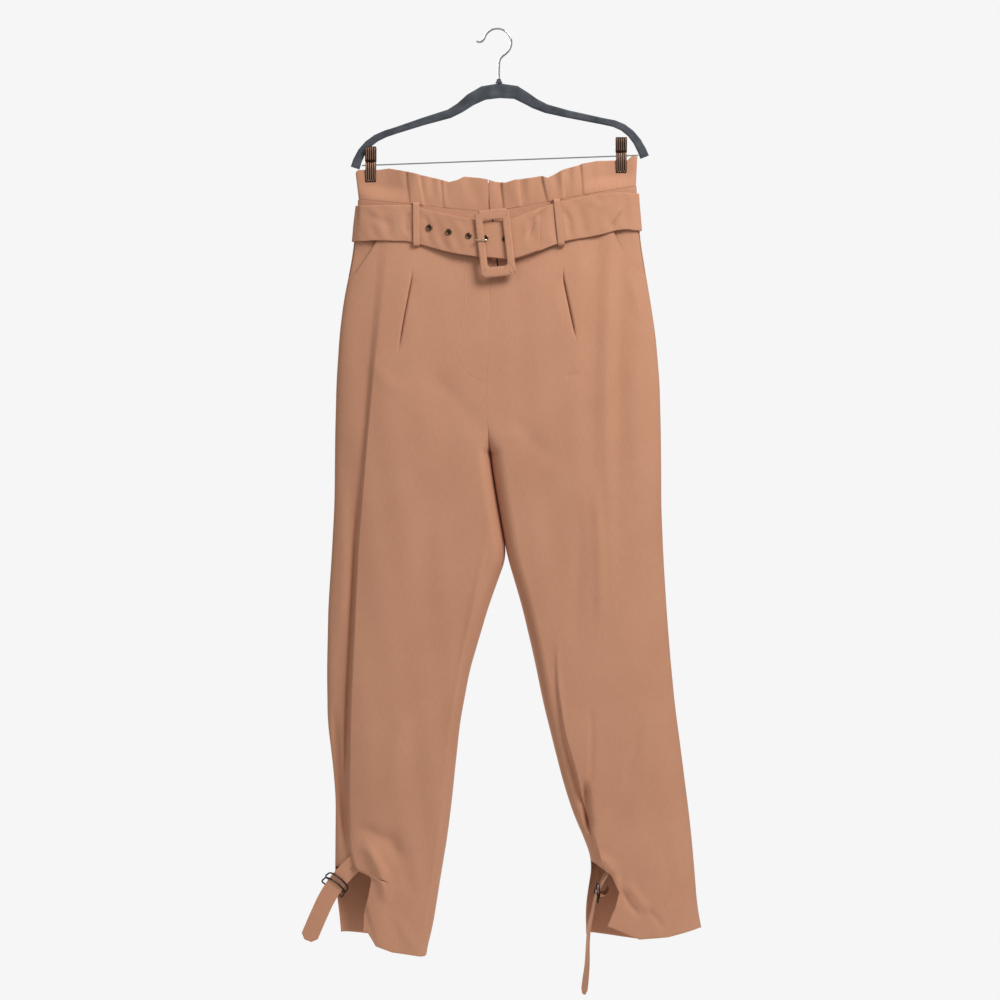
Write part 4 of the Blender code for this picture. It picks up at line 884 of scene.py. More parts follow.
def seam_normals(leg, grid, normals, sewn):
    """Squares the walls' rims to their seams, so that the pieces face each other."""
    turn = crotch_turn(grid[:, -1, 2]) * pi / 2
    facing = np.where(grid[:, -1, 1] < 0, -1.0, 1.0)
    inner = np.stack((-leg["sign"] * np.sin(turn), facing * np.cos(turn), 0 * turn), axis=-1)
    side = np.array((leg["sign"], 0.0, 0.0))
    normals[:, 0] = np.where(sewn[0][:, None], side, normals[:, 0])
    normals[:, 1] = np.where(sewn[0][:, None], unit(side * 0.8 + normals[:, 1] * 0.2), normals[:, 1])
    normals[:, -1] = np.where(sewn[1][:, None], inner, normals[:, -1])
    return normals


def panel_columns(knots, counts, near):
    """x of every column in each row: close together beside a knot line, and even between the lines."""
    columns = []
    for index, count in enumerate(counts):
        low, high = knots[index], knots[index + 1]
        step = np.sign(high - low)
        room = np.abs(high - low) / 2.5
        offsets = [np.minimum(offset, room * offset / near[-1]) for offset in near]
        first = low + step * offsets[-1]
        last = high - step * offsets[-1]
        columns += [low] + [low + step * offset for offset in offsets[:-1]]
        columns += [first + (last - first) * part for part in np.linspace(0, 1, count)]
        columns += [high - step * offset for offset in offsets[:-1][::-1]]
    return np.stack(columns + [knots[-1]], axis=-1)


def between(side, inner, x):
    """x, held between the two edges of a panel."""
    return side + (inner - side) * np.clip((x - side) / (inner - side), 0, 1)


def panel_grid(leg, front, cell):
    """Grid of middle points of a leg panel, from the waist seam to the hem, with the rows that are sewn."""
    levels = np.linspace(TOP_LEVEL, LOW_LEVEL, int((TOP_LEVEL - LOW_LEVEL) / (cell * 1.3)))
    levels = np.concatenate(((TOP_LEVEL, TOP_LEVEL - 0.0008), levels[1:-1], (LOW_LEVEL + 0.0008, LOW_LEVEL)))
    guides = leg["guides"][front]
    counts = [max(6, int(width / cell)) for width in ((0.07, 0.06, 0.13) if front else (0.12, 0.13))]
    columns = sum(counts) + (2 * len(NEAR) - 1) * len(counts) + 1
    height = np.repeat(levels[:, None], columns, axis=1)
    part = None
    # The edges depend on each row's height and the heights on the edges, so both settle over a few rounds.
    for _ in range(5):
        middle = height.mean(axis=1)
        side, inner = edges(leg, middle)
        start, end = side, inner
        if front:
            start = between(side, inner, along(leg["start"], height[:, 0]))
            if leg["end"]:
                stop = between(side, inner, along(leg["end"], height[:, -1]))
                end = np.where(height[:, -1] < LEFT_END[0][0], stop, inner)
        knots = [start]
        for rows in guides:
            place = soft_look(rows, 1, middle)
            low, high = knots[-1] - leg["sign"] * 0.012, end + leg["sign"] * 0.010
            place = np.minimum(place, low) if leg["sign"] > 0 else np.maximum(place, low)
            place = np.maximum(place, high) if leg["sign"] > 0 else np.minimum(place, high)
            knots.append(place)
        columns = panel_columns(knots + [end], counts, NEAR)
        part = (columns - side[:, None]) / (inner - side)[:, None]
        height = level_height(leg, part, levels[:, None], front)
    return skin(leg, part, height, front), (part[:, 0] < 1e-4, part[:, -1] > 1 - 1e-4, True, False)


class TROUSERS_OT_legs(bpy.types.Operator):
    """Front and back panels of both legs, and the cloth inside the pocket mouths"""
    bl_idname = "trousers.legs"
    bl_label = "Leg Panels"

    def execute(self, context):
        cell = context.scene.trousers_cloth.cell
        # Flat cut of each panel: widest width, length, and the area once the shape is taken out of it.
        cuts = {("right", True): (0.275, 1.085, 0.235), ("right", False): (0.280, 1.085, 0.240),
                ("left", True): (0.275, 1.085, 0.225), ("left", False): (0.280, 1.085, 0.240)}
        for side, leg in LEGS.items():
            for front, face in ((True, "front"), (False, "back")):
                grid, sewn = panel_grid(leg, front, cell if front else cell * 1.5)
                normals = seam_normals(leg, grid, grid_normals(grid, (0, -1 if front else 1, 0)), sewn)
                width, length, area = cuts[side, front]
                lay(f"{side}_leg_{face}", [cloth_wall(grid, normals, sewn=sewn)], "crepe", "crepe_cloth",
                    [f"leg_{side}_{face}"], flat=(width, length), held="hung", area=area,
                    rests_on=[f"waistband_{face}_cloth"])
            lay(f"{side}_pocket_facing", [self.pocket(leg)], "crepe", "crepe_cloth",
                [f"pocket_facing_{side}"], flat=(0.072, 0.105), held="hung", area=0.0033,
                rests_on=[f"{side}_leg_back"])
        return {"FINISHED"}

    @staticmethod
    def pocket(leg):
        """Cloth that shows inside a pocket mouth, tucked under the front panel."""
        top = along(leg["waist"], 0.0) - BAND_DROP - GAP
        part, step = np.meshgrid(np.linspace(0, 1, 26), np.linspace(0, 1, 44))
        level = top + (POCKET_LOW - top) * step
        outer, inner = edges(leg, level)
        mouth = np.maximum(0.0, (along(leg["start"], level) - outer) / (inner - outer))
        share = (mouth + POCKET_LAP / np.abs(inner - outer)) * part
        under = POCKET_UNDER * np.maximum(smooth(2 * step), np.minimum(1.0, share / np.maximum(mouth, 0.02)))
        level = level + (along(leg["waist"], share) - BAND_DROP - GAP - top) * (1 - smooth(step * 1.2))
        face = rise(share, 0.12)
        grid = skin(leg, share, level, True, False)
        grid[..., 0] -= leg["sign"] * (1 - face) * FACING_INSET
        grid[..., 1] += face * under
        return cloth_wall(grid, grid_normals(grid, (0, -1, 0)))


def ruffle_grid(front, low, high, cell, lower):
    """Grid of the ruffle between two x, from the waist seam to its top edge."""
    right, left = LEGS["right"], LEGS["left"]
    pleats = FRONT_PLEATS if front else BACK_PLEATS
    first, last = RUFFLE_TOP[0][0], RUFFLE_TOP[-1][0]
    marks = np.linspace(low, high, int((high - low) / (cell * 0.5)))
    marks = np.concatenate((marks[:1], (low + RIM_EDGE,), marks[1:-1], (high - RIM_EDGE,), marks[-1:]))
    top_x, part = np.meshgrid(marks, rim_positions(20, RIM_EDGE, 0.045))
    share = (top_x - first) / (last - first)
    side_right, side_left = look(right["outline"], 1, -0.251), look(left["outline"], 1, -0.231)
    seam_x = side_right + (side_left - side_right) * share
    x = seam_x + (top_x - seam_x) * part
    centre = look(right["outline"], 2, -0.27)
    is_right = seam_x < centre
    seam_share = np.where(is_right, (seam_x - side_right) / (centre - side_right),
                          (seam_x - side_left) / (centre - side_left))
    seam = np.where(is_right, along(RIGHT_WAIST, seam_share), along(LEFT_WAIST, seam_share))
    z = seam + GAP + (along(RUFFLE_TOP, top_x) - lower - seam - GAP) * part
    depth = along(FRONT_DEPTH if front else BACK_DEPTH, seam) * rise(np.minimum(seam_share, 1.0), SIDE_ROUND)
    near = np.minimum(np.abs(x - CLIP_X[0]), np.abs(x - CLIP_X[1]))
    hold = smooth((near - CLIP_WIDTH / 2 - 0.001) / CLIP_FREE)
    outside = rise(np.minimum(share, 1 - share), 0.02)
    pinched = CLIP_HOLD * outside + np.maximum(0.0, depth - CLIP_HOLD) * hold
    depth = depth + (pinched - depth) * smooth(part * 1.9)
    for pleat_seam, pleat_top, step in pleats:
        line = pleat_seam + (pleat_top - pleat_seam) * part
        distance = x - line
        past = (np.abs(distance) - PLEAT_EDGE) / PLEAT_REACH
        weight = smooth(np.abs(distance) / PLEAT_EDGE) * (1 - smooth(past))
        depth = depth + np.sign(distance) * step / 2 * weight * (0.35 + 0.65 * part) * hold
    flare = smooth(part * 1.3) * hold
    depth = depth + ripples(x, z, RUFFLE_SEED + front, *RUFFLE_RIPPLES) * flare
    return np.stack((x, (-1 if front else 1) * (depth + GAP / 2), z), axis=-1)


class TROUSERS_OT_waist(bpy.types.Operator):
    """Waistband, and the pleated paperbag ruffle above it"""
    bl_idname = "trousers.waist"
    bl_label = "Waistband and Ruffle"

    def execute(self, context):
        cell = context.scene.trousers_cloth.cell
        for front, face in ((True, "front"), (False, "back")):
            grids = []
            for leg in LEGS.values():
                share, part = np.meshgrid(rim_positions(80, RIM_EDGE, 0.19),
                                          rim_positions(14, RIM_EDGE, BAND_DROP))
                height = along(leg["waist"], share) + SEAM_LAP - (BAND_DROP + SEAM_LAP) * part
                grids.append(skin(leg, share, height, front, False))
            if not front:
                grids = [np.concatenate((grids[0], grids[1][:, ::-1][:, 1:]), axis=1)]
            every = np.full(len(grids[0]), True)
            walls = [cloth_wall(grid, grid_normals(grid, (0, -1 if front else 1, 0)),
                                sewn=(every, every, True, True)) for grid in grids]
            nodes = ["waistband_right_front", "waistband_left_front"] if front else ["waistband_back"]
            lay(f"waistband_{face}_cloth", walls, "crepe", "crepe_cloth", nodes,
                flat=(0.435, 0.041), held="hung", rests_on=[f"ruffle_{face}_cloth"])
        first, last = RUFFLE_TOP[0][0], RUFFLE_TOP[-1][0]
        front_grids = [ruffle_grid(True, first, RUFFLE_SPLIT - RIM_EDGE, cell, 0.0),
                       ruffle_grid(True, RUFFLE_SPLIT + RIM_EDGE, last, cell, 0.0)]
        back_grids = [ruffle_grid(False, first, last, cell, BACK_LOWER)]
        for face, grids, hint, nodes in (
                ("front", front_grids, (0, -1, 0), ["ruffle_right_front", "ruffle_left_front"]),
                ("back", back_grids, (0, 1, 0), ["ruffle_back"])):
            free = np.full(len(grids[0]), False)
            walls = [cloth_wall(grid, grid_normals(grid, hint), sewn=(free, free, True, False))
                     for grid in grids]
            lay(f"ruffle_{face}_cloth", walls, "crepe", "crepe_cloth", nodes, flat=(0.500, 0.050),
                held="gathered", rests_on=[f"right_clip_{face}", f"left_clip_{face}"])
        return {"FINISHED"}


def leg_at(x, z):
    """The leg whose panels cover x at a height."""
    return LEGS["right"] if x < look(RIGHT_OUTLINE, 2, z) else LEGS["left"]


def front_place(x, z, folded=True):
    """Middle of the front cloth at x and z."""
    leg = leg_at(x, z)
    side, inner = edges(leg, np.array([z]))
    return skin(leg, (x - side) / (inner - side), np.array([z]), True, folded)[0]


def stitches(name, points, stitch=0.0026, rest=0.0010, radius=0.00022, lift=0.0):
    """Row of thread stitches along a line, as one mesh."""
    length = np.linalg.norm(np.diff(np.array(points), axis=0), axis=1).sum()
    line = spline(points, 2 * max(2, int(length / (stitch + rest))))
    parts = []
    for a, b in zip(line[::2], line[1::2]):
        ahead = (b - a) / np.linalg.norm(b - a)
        middle, half = (a + b) / 2, ahead * stitch / 2
        raised = np.array((0.0, -lift, 0.0))
        parts.append([middle - half, middle - half * 0.6 + raised, middle + half * 0.6 + raised,
                      middle + half])
    vertices, faces = [], []
    around = range(STITCH_SIDES)
    for places in parts:
        base = len(vertices)
        ahead = unit(places[3] - places[0])
        across = unit(np.cross(ahead, (0.0, 1.0, 0.0)))
        out = np.cross(ahead, across)
        for point, share in zip(places, (0.55, 1.0, 1.0, 0.55)):
            for step in around:
                turn = 2 * pi * step / STITCH_SIDES
                vertices.append(point + radius * share * (across * cos(turn) + out * sin(turn)))
        for ring in range(3):
            start = base + ring * STITCH_SIDES
            for step in around:
                a, b = start + step, start + (step + 1) % STITCH_SIDES
                faces.append((a, b, b + STITCH_SIDES, a + STITCH_SIDES))
        faces.append(tuple(base + step for step in reversed(around)))
        faces.append(tuple(base + 3 * STITCH_SIDES + step for step in around))
    mesh = bpy.data.meshes.new(name)
    mesh.from_pydata([vertex.tolist() for vertex in vertices], [], faces)
    outward(mesh)
    return link(name, mesh)


class TROUSERS_OT_fly(bpy.types.Operator):
    """Fly: zip tape, underlap, and the curved line of stitches beside them"""
    bl_idname = "trousers.fly"
    bl_label = "Fly"

    def execute(self, context):
        for name, node, slot, kind, half, under, flat in (
                ("fly_zip_tape", "fly_zip", "zip_tape", "tape", 0.012, CLOTH + 2 * GAP, (0.024, 0.190)),
                ("fly_underlap_cloth", "fly_underlap", "crepe_cloth", "crepe", 0.021, 2 * CLOTH + 5 * GAP,
                 (0.042, 0.190))):
            rows = []
            for z in np.linspace(FLY_TOP, FLY_LOW, 60):
                middle = float(look(RIGHT_OUTLINE, 2, z))
                row = []
                for x in middle + half * np.linspace(-1, 1, 9):
                    row.append((x, front_place(x, z, False)[1] + under, z))
                rows.append(row)
            grid = np.array(rows)
            lay(name, [cloth_wall(grid, grid_normals(grid, (0, -1, 0)), CLOTH, RIM_SOFT / 2)], kind, slot,
                [node], flat=flat, held="hung", rests_on=["right_leg_front"])
        proud = np.array((0, -CLOTH / 2 - 0.0001, 0))
        line = spline([front_place(x, z) + proud for x, z in FLY_STITCH], 120)
        line = [front_place(x, z) + proud for x, _, z in line]
        made = stitches("fly_stitching", line, radius=0.00034, lift=0.00015)
        finish_piece(made, finish("thread"), "crepe_cloth")
        return {"FINISHED"}


def body_y(x, z, front):
    """Middle of the body's cloth at x and z, as if it had no folds."""
    leg = leg_at(x, z)
    side, inner = look(leg["outline"], 1, z), look(leg["outline"], 2, z)
    full = rise((x - side) / (inner - side), SIDE_ROUND)
    return float(-along(FRONT_DEPTH, z) * full if front else along(BACK_DEPTH, z) * full)


def belt_edges(x, rows=BELT_FRONT):
    """Heights of the belt's top and bottom edges."""
    return along([row[:2] for row in rows], x), along([(row[0], row[2]) for row in rows], x)


def belt_places(x):
    """Middle of the belt at its two edges: level behind the buckle, close to the body at the sides."""
    share = float(smooth((abs(x) - BELT_EASE_FROM) / BELT_EASE))
    bodies = [body_y(x, z, True) for z in belt_edges(x)]
    near = [min(bodies) - CLOTH / 2 - BELT_STAND, bodies[1] - CLOTH / 2 - BELT_STAND]
    return [-BELT_LEVEL + (place + BELT_LEVEL) * share for place in near]


def side_turn(leg, heights, angles):
    """Belt rows round a side seam, by angle from the front."""
    rows = []
    for angle in angles:
        turn = radians(angle)
        out = leg["sign"] * ((CLOTH / 2 + BELT_STAND) * sin(turn) - BELT_TUCK * (1 - sin(turn)))
        y = -cos(turn) * BELT_TURN
        rows.append([value for z in heights for value in (float(look(leg["outline"], 1, z)) + out, y, z)])
    return rows


def belt_rows():
    """Top and bottom points of the belt, from its end on the centre bar right round to the free tongue."""
    level = -BELT_LEVEL
    behind = level + BAR_STAND + BAR_RADIUS + GAP + BELT_CLOTH / 2
    rows = []

    def add(x, heights, places):
        rows.append([float(value) for y, z in zip(places, heights) for value in (x, y, z)])

    for x in (BUCKLE_X - 0.004, BUCKLE_X + 0.010, BUCKLE_X + 0.028):
        add(x, belt_edges(max(x, 0.016)), (behind, behind))
    for x in (0.045, 0.062, 0.080, 0.104, 0.130, 0.155, 0.175, 0.190, 0.199):
        ease = float(smooth((x - 0.028) / 0.070))
        add(x, belt_edges(x), [behind + (place - behind) * ease for place in belt_places(x)])
    rows += side_turn(LEGS["left"], BELT_FRONT[-1][1:], (25, 55, 90, 125, 155))
    for x in (0.199, 0.190, 0.175, 0.150, 0.115, 0.070, 0.020, -0.030, -0.080, -0.120, -0.155, -0.178,
              -0.193, -0.202):
        heights = belt_edges(x, BELT_BACK)
        place = max(body_y(x, z, False) for z in heights) + CLOTH / 2 + BELT_STAND
        add(x, heights, (place, place))
    rows += side_turn(LEGS["right"], BELT_FRONT[0][1:], (155, 125, 90, 55, 25))
    for x in (-0.202, -0.193, -0.178, -0.155, -0.130, -0.104, -0.080, -0.058, -0.040, -0.028):
        add(x, belt_edges(x), belt_places(x))
    for x in (-0.010, 0.006, 0.020, 0.035, TONGUE_END):
        top, bottom = belt_edges(x)
        add(x, (top - 0.001, bottom + 0.001), (level, level))
    return rows


def ribbon_grid(rows, width, turns, count, cols, trim=0.0, clip=0.0):
    """Grid of a strap along centre points; turns give the direction across it at each point."""
    line = spline(np.concatenate((np.array(rows, dtype=float), np.array(turns, dtype=float)), axis=1), count)
    centre, across = line[:, :3], unit(line[:, 3:])
    places = rim_positions(cols, RIBBON_EDGE, width) - 0.5
    offsets = across[:, None, :] * width * places[None, :, None]
    normals = unit(np.cross(across, unit(np.gradient(centre, axis=0))))
    if clip:
        # The free end is cut on the slant at both corners.
        tail = np.linalg.norm(centre - centre[-1], axis=1)
        offsets = offsets * (1 - (1 - trim) * (1 - np.minimum(1.0, tail / clip)))[:, None, None]
    grid = centre[:, None, :] + offsets
    return grid, np.repeat(normals[:, None, :], grid.shape[1], axis=1)


def loop_rows(x_top, x_bottom, top, bottom, front):
    """Centre points of a belt loop, which turns in to the waistband at both ends."""
    sign = -1 if front else 1
    rows = []
    for part, out in ((-0.055, 0), (-0.05, 0.55), (-0.02, 0.95), (0.06, 1), (0.5, 1), (0.94, 1), (1.02, 0.95),
                      (1.05, 0.55), (1.055, 0)):
        z = top + (bottom - top) * part
        x = x_top + (x_bottom - x_top) * part
        rest = body_y(x, z, front) + sign * (CLOTH + GAP)
        if front:
            high, low = belt_places(x)
            over = high + (low - high) * min(1.0, max(0.0, part))
        else:
            over = max(body_y(x, edge, False) for edge in belt_edges(x, BELT_BACK)) + CLOTH / 2 + BELT_STAND
        outside = over + sign * (BELT_CLOTH / 2 + CLOTH / 2 + LOOP_STAND)
        rows.append((x, rest + (outside - rest) * out, z))
    return rows


class TROUSERS_OT_belt(bpy.types.Operator):
    """Belt from the buckle round to its free tongue, and the four loops over it"""
    bl_idname = "trousers.belt"
    bl_label = "Belt and Loops"

    def execute(self, context):
        line = spline(belt_rows(), 1150)
        top, bottom = line[:, :3], line[:, 3:]
        places = rim_positions(22, RIBBON_EDGE, BELT_WIDTH)
        grid = top[:, None, :] + (bottom - top)[:, None, :] * places[None, :, None]
        normals = unit(np.cross(np.gradient(grid, axis=1), np.gradient(grid, axis=0)))
        away = normals[..., 1] * grid[..., 1] + 0.02 * normals[..., 0] * grid[..., 0]
        if float(np.where(away < 0, -1.0, 1.0).mean()) < 0:
            normals = -normals
        is_front = smooth((-grid[..., 1] - FRONT_FROM) / FRONT_FADE)
        rolled = 0.5 - np.abs(places[None, :] - 0.5)
        height = crease_offset(BELT_CREASES, grid[..., 0], grid[..., 2]) * is_front
        waves = ripples(grid[..., 0], grid[..., 2], BELT_SEED, *BELT_RIPPLES)
        height = height + waves * smooth(rolled / 0.2)
        calm = 1 - smooth((CALM_REACH - np.abs(grid[..., 0] - BUCKLE_X)) / CALM_FADE) * is_front
        grid = grid + normals * (height * calm)[..., None]
        lay("belt_strap", [cloth_wall(grid, normals, BELT_CLOTH * 1.25, 0.0016)], "belt", "belt_cloth",
            ["belt"], flat=(0.990, 0.056), held="stretched",
            rests_on=["waistband_front_cloth", "waistband_back_cloth"])
        for place, ends in LOOPS.items():
            rows = loop_rows(*ends, place.endswith("front"))
            grid, normals = ribbon_grid(rows, LOOP_WIDTH, [(1, 0, 0)] * len(rows), 44, 7)
            lay(f"{place}_loop", [cloth_wall(grid, normals, CLOTH * 1.1)], "belt", "belt_cloth",
                [f"belt_loop_{place}"], flat=(0.010, 0.076), held="stretched", rests_on=["belt_strap"])
        return {"FINISHED"}


def rounded_outline(width, height, radius, steps):
    """Corner points of a rounded rectangle in the XZ plane, round its middle."""
    points = []
    for turn, (side, end) in enumerate(((1, 1), (-1, 1), (-1, -1), (1, -1))):
        for step in range(steps + 1):
            angle = pi / 2 * (turn + step / steps)
            points.append((side * (width / 2 - radius) + radius * cos(angle),
                           end * (height / 2 - radius) + radius * sin(angle)))
    return points


def tilted(across, up):
    """x and z of a place in the buckle's own width and height."""
    return (BUCKLE_X + (across * cos(BUCKLE_TILT) - up * sin(BUCKLE_TILT)),
            BUCKLE_Z + (across * sin(BUCKLE_TILT) + up * cos(BUCKLE_TILT)))


class TROUSERS_OT_buckle(bpy.types.Operator):
    """Cloth covered buckle frame, its prong, and the metal eyelets in the belt's tongue"""
    bl_idname = "trousers.buckle"
    bl_label = "Buckle and Eyelets"

    def execute(self, context):
        back = -BELT_LEVEL - BELT_CLOTH / 2 - EYELET_THICK - 2 * GAP
        outer = spline(rounded_outline(*BUCKLE_SIZE, 0.009, 6), BUCKLE_STEPS, True)
        inner = spline(rounded_outline(*BUCKLE_WINDOW, 0.004, 6), BUCKLE_STEPS, True)
        start = int(np.argmin(np.hypot(*(inner - outer[0]).T)))
        inner = np.roll(inner, -start, axis=0)
        band = []
        draw = np.random.default_rng(BUCKLE_SEED)
        pucker = np.interp(np.arange(BUCKLE_STEPS), np.linspace(0, BUCKLE_STEPS, 56), draw.uniform(-1, 1, 56),
                           period=BUCKLE_STEPS)
        for turn in np.linspace(0, 2 * pi, 25)[:-1]:
            # The cloth is wrapped round a flat board: a rounded oblong section.
            across, deep = cos(turn), sin(turn)
            across = np.sign(across) * abs(across) ** 0.45
            deep = np.sign(deep) * abs(deep) ** 0.6
            share = 0.5 + 0.5 * across
            ring = inner + (outer - inner) * share
            y = back - BUCKLE_THICK / 2 - deep * BUCKLE_THICK / 2
            y = y - 0.00016 * pucker * abs(deep)
            x, z = tilted(ring[:, 0], ring[:, 1])
            band.append(np.stack((x, y + 0 * x, z), axis=-1))
        made = self.tube("covered_buckle", np.array(band))
        finish_piece(made, finish("belt"), "belt_cloth", "buckle_frame")
        inset = rounded_outline(BUCKLE_SIZE[0] - STITCH_INSET, BUCKLE_SIZE[1] - STITCH_INSET, 0.007, 6)
        seat = []
        for across, up in spline(inset, 90, True):
            x, z = tilted(across, up)
            seat.append(np.array((x, back - BUCKLE_THICK - 0.00005, z)))
        thread = stitches("buckle_stitching", seat + seat[:1], 0.0020, 0.0008, 0.00018, 0.0001)
        finish_piece(thread, finish("thread"), "belt_cloth")
        face = back - BUCKLE_THICK - BAR_RADIUS - GAP
        points = spline([(-0.0330, face, PRONG_Z), (-0.0250, face, PRONG_Z - 0.0002),
                         (-0.0170, face, PRONG_Z - 0.0003), (-0.0140, face + 0.0030, PRONG_Z - 0.0008)], 30)
        ends = 0.55 + 0.45 * rise(np.linspace(0, 1, 30), 0.3)
        prong = wire("prong", points, BAR_RADIUS, ends=ends)
        finish_piece(prong, finish("prong"), "prong_metal", "buckle_prong")
        model = self.eyelet()
        for number, x in enumerate(EYELETS, 1):
            top, bottom = belt_edges(x)
            level = min(min(belt_places(edge)) for edge in (x - 0.0043, x, x + 0.0043))
            y = level - BELT_CLOTH / 2 - GAP - EYELET_THICK / 2
            z = float(top + (bottom - top) * EYELET_DOWN)
            copy = link(f"eyelet_ring_{number}", model.data.copy())
            copy.data.transform(Matrix.Translation((x, y, z)))
            finish_piece(copy, finish("eyelets"), "eyelet_metal", f"eyelet_{number}")
            # A thin near black disc in each ring is painted shade inside the eyelet's hole.
            bpy.ops.mesh.primitive_cylinder_add(vertices=32, radius=EYELET_HOLE, depth=0.0002,
                                                rotation=(pi / 2, 0, 0), location=(x, y + 0.0002, z))
            hole = apply_place(named(f"eyelet_hole_{number}"))
            finish_piece(hole, finish("hole_shade"), "belt_cloth")
        bpy.data.objects.remove(model)
        return {"FINISHED"}

    @staticmethod
    def tube(name, rings):
        """Closed ring shaped tube from rings of points."""
        here = np.arange(rings.shape[0] * rings.shape[1]).reshape(rings.shape[:2])
        after = np.roll(here, -1, axis=0)
        faces = np.stack((here, np.roll(here, -1, axis=1), np.roll(after, -1, axis=1), after), axis=-1)
        mesh = bpy.data.meshes.new(name)
        mesh.from_pydata(rings.reshape(-1, 3).tolist(), [], faces.reshape(-1, 4).tolist())
        outward(mesh)
        layer = mesh.uv_layers.new(name="Cloth")
        for loop in mesh.loops:
            place = mesh.vertices[loop.vertex_index].co
            layer.data[loop.index].uv = (place.x + place.y, place.z + place.y)
        return link(name, mesh)

    @staticmethod
    def eyelet():
        """Rolled metal ring. The dark disc of painted shade in its hole is made beside it."""
        deselect()
        bpy.ops.mesh.primitive_torus_add(major_radius=EYELET_RADIUS, minor_radius=0.00115, major_segments=48,
                                         minor_segments=14, rotation=(pi / 2, 0, 0))
        made = named("eyelet model")
        made.scale = (1, 1, 0.45)
        apply_place(made)
        bpy.ops.object.shade_smooth_by_angle(angle=SMOOTH_ANGLE)
        return made


def ring_frame(rows, distance):
    """Point on a strap's middle line, with the directions along, across and out of its shown face."""
    points = np.array([row[:3] for row in rows])
    wide = unit(np.array([row[3:] for row in rows]))
    steps = np.concatenate(((0.0,), np.cumsum(np.linalg.norm(np.diff(points, axis=0), axis=1))))

    def at(columns, place):
        return np.array([np.interp(place, steps, columns[:, axis]) for axis in range(3)])

    ahead = unit(at(points, distance + 0.006) - at(points, distance - 0.006))
    across = at(wide, distance)
    across = unit(across - ahead * float(across @ ahead))
    face = np.cross(across, ahead)
    shown = face[0] < 0 if abs(face[0]) > 0.6 else face[1] < 0
    return at(points, distance), ahead, across, face if shown else -face


class TROUSERS_OT_ankles(bpy.types.Operator):
    """Ankle straps with their free ends, the pairs of D rings, and the tabs that hold the rings"""
    bl_idname = "trousers.ankles"
    bl_label = "Ankle Straps"

    def execute(self, context):
        for side, rows in STRAPS.items():
            width = STRAP_WIDTH[side]
            grid, normals = ribbon_grid([row[:3] for row in rows], width, [row[3:] for row in rows], 110, 13,
                                        trim=STRAP_TIP, clip=STRAP_CLIP)
            lay(f"{side}_ankle_strap", [cloth_wall(grid, normals, CLOTH * 1.3, 0.0014)], "belt", "belt_cloth",
                [f"ankle_strap_{side}"], flat=(width, STRAP_LENGTH[side]), held="hung",
                rests_on=[f"{side}_leg_front"])
            for number in (1, 2):
                points = self.ring_points(rows, RING_AT[side] + (number - 1) * RING_STEP)
                ring = wire(f"{side}_D_ring_{number}", spline(points, 72, True), RING_WIRE, True)
                finish_piece(ring, finish("rings"), "ring_metal", f"d_ring_{side}_{number}")
            start, ahead, across, face = ring_frame(rows, RING_AT[side])
            held = start + ahead * RING_DEPTH - face * (RING_CLEAR + RING_WIRE + CLOTH / 2 + GAP)
            tab = [held + ahead * 0.003, held, *TAB_ENDS[side][::-1]]
            tab_width = width * TAB_SHARE
            grid, normals = ribbon_grid(tab, tab_width, [across] * 4, 40, 9)
            lay(f"{side}_ring_tab", [cloth_wall(grid, normals, CLOTH * 1.1)], "belt", "belt_cloth",
                [f"ring_tab_{side}"], flat=(tab_width, TAB_LENGTH[side]), held="hung",
                rests_on=[f"{side}_leg_back"])
        return {"FINISHED"}

    @staticmethod
    def ring_points(rows, distance):
        start, ahead, across, face = ring_frame(rows, distance)
        front = start + face * RING_CLEAR
        back = start + ahead * RING_DEPTH - face * RING_CLEAR
        points = []
        for step in range(13):
            turn = pi * step / 12
            bow = (back - front) * (1 - sin(turn)) * RING_BOW
            points.append(front + bow + across * cos(turn) * RING_LENGTH / 2)
        return points + [back + across * RING_LENGTH * side for side in (-0.5, -0.2, 0.2, 0.5)]


class TROUSERS_OT_hanger(bpy.types.Operator):
    """Hook, flocked body and collar, and the thin bar that the clips slide on"""
    bl_idname = "trousers.hanger"
    bl_label = "Hanger"

    def execute(self, context):
        points = [(-0.0310, -0.0170), (-0.0270, -0.0183), (-0.0235, -0.0175)]
        for step in range(13):
            angle = radians(165 - step * 215 / 12)
            points.append((HOOK_RADIUS * cos(angle), HOOK_WIRE - HOOK_RADIUS + HOOK_RADIUS * sin(angle)))
        points += [(0.0085, -0.0385), (0.0047, -0.0425), (0.0028, -0.0475), (0.0022, -0.0540),
                   (0.0020, -0.0722)]
        line = spline([(x, 0.0, z) for x, z in points], 150)
        hook = wire("hook", line, HOOK_WIRE)
        finish_piece(hook, finish("chrome"), "hook_chrome", "hanger_hook")
        for node, kind in (("hanger_body", "flock"), ("hanger_collar", "flock"), ("hanger_bar", "chrome"),
                           ("buckle_centre_bar", "rings")):
            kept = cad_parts[node]
            kept.data.materials.clear()
            kept.data.materials.append(finish(kind))
        return {"FINISHED"}


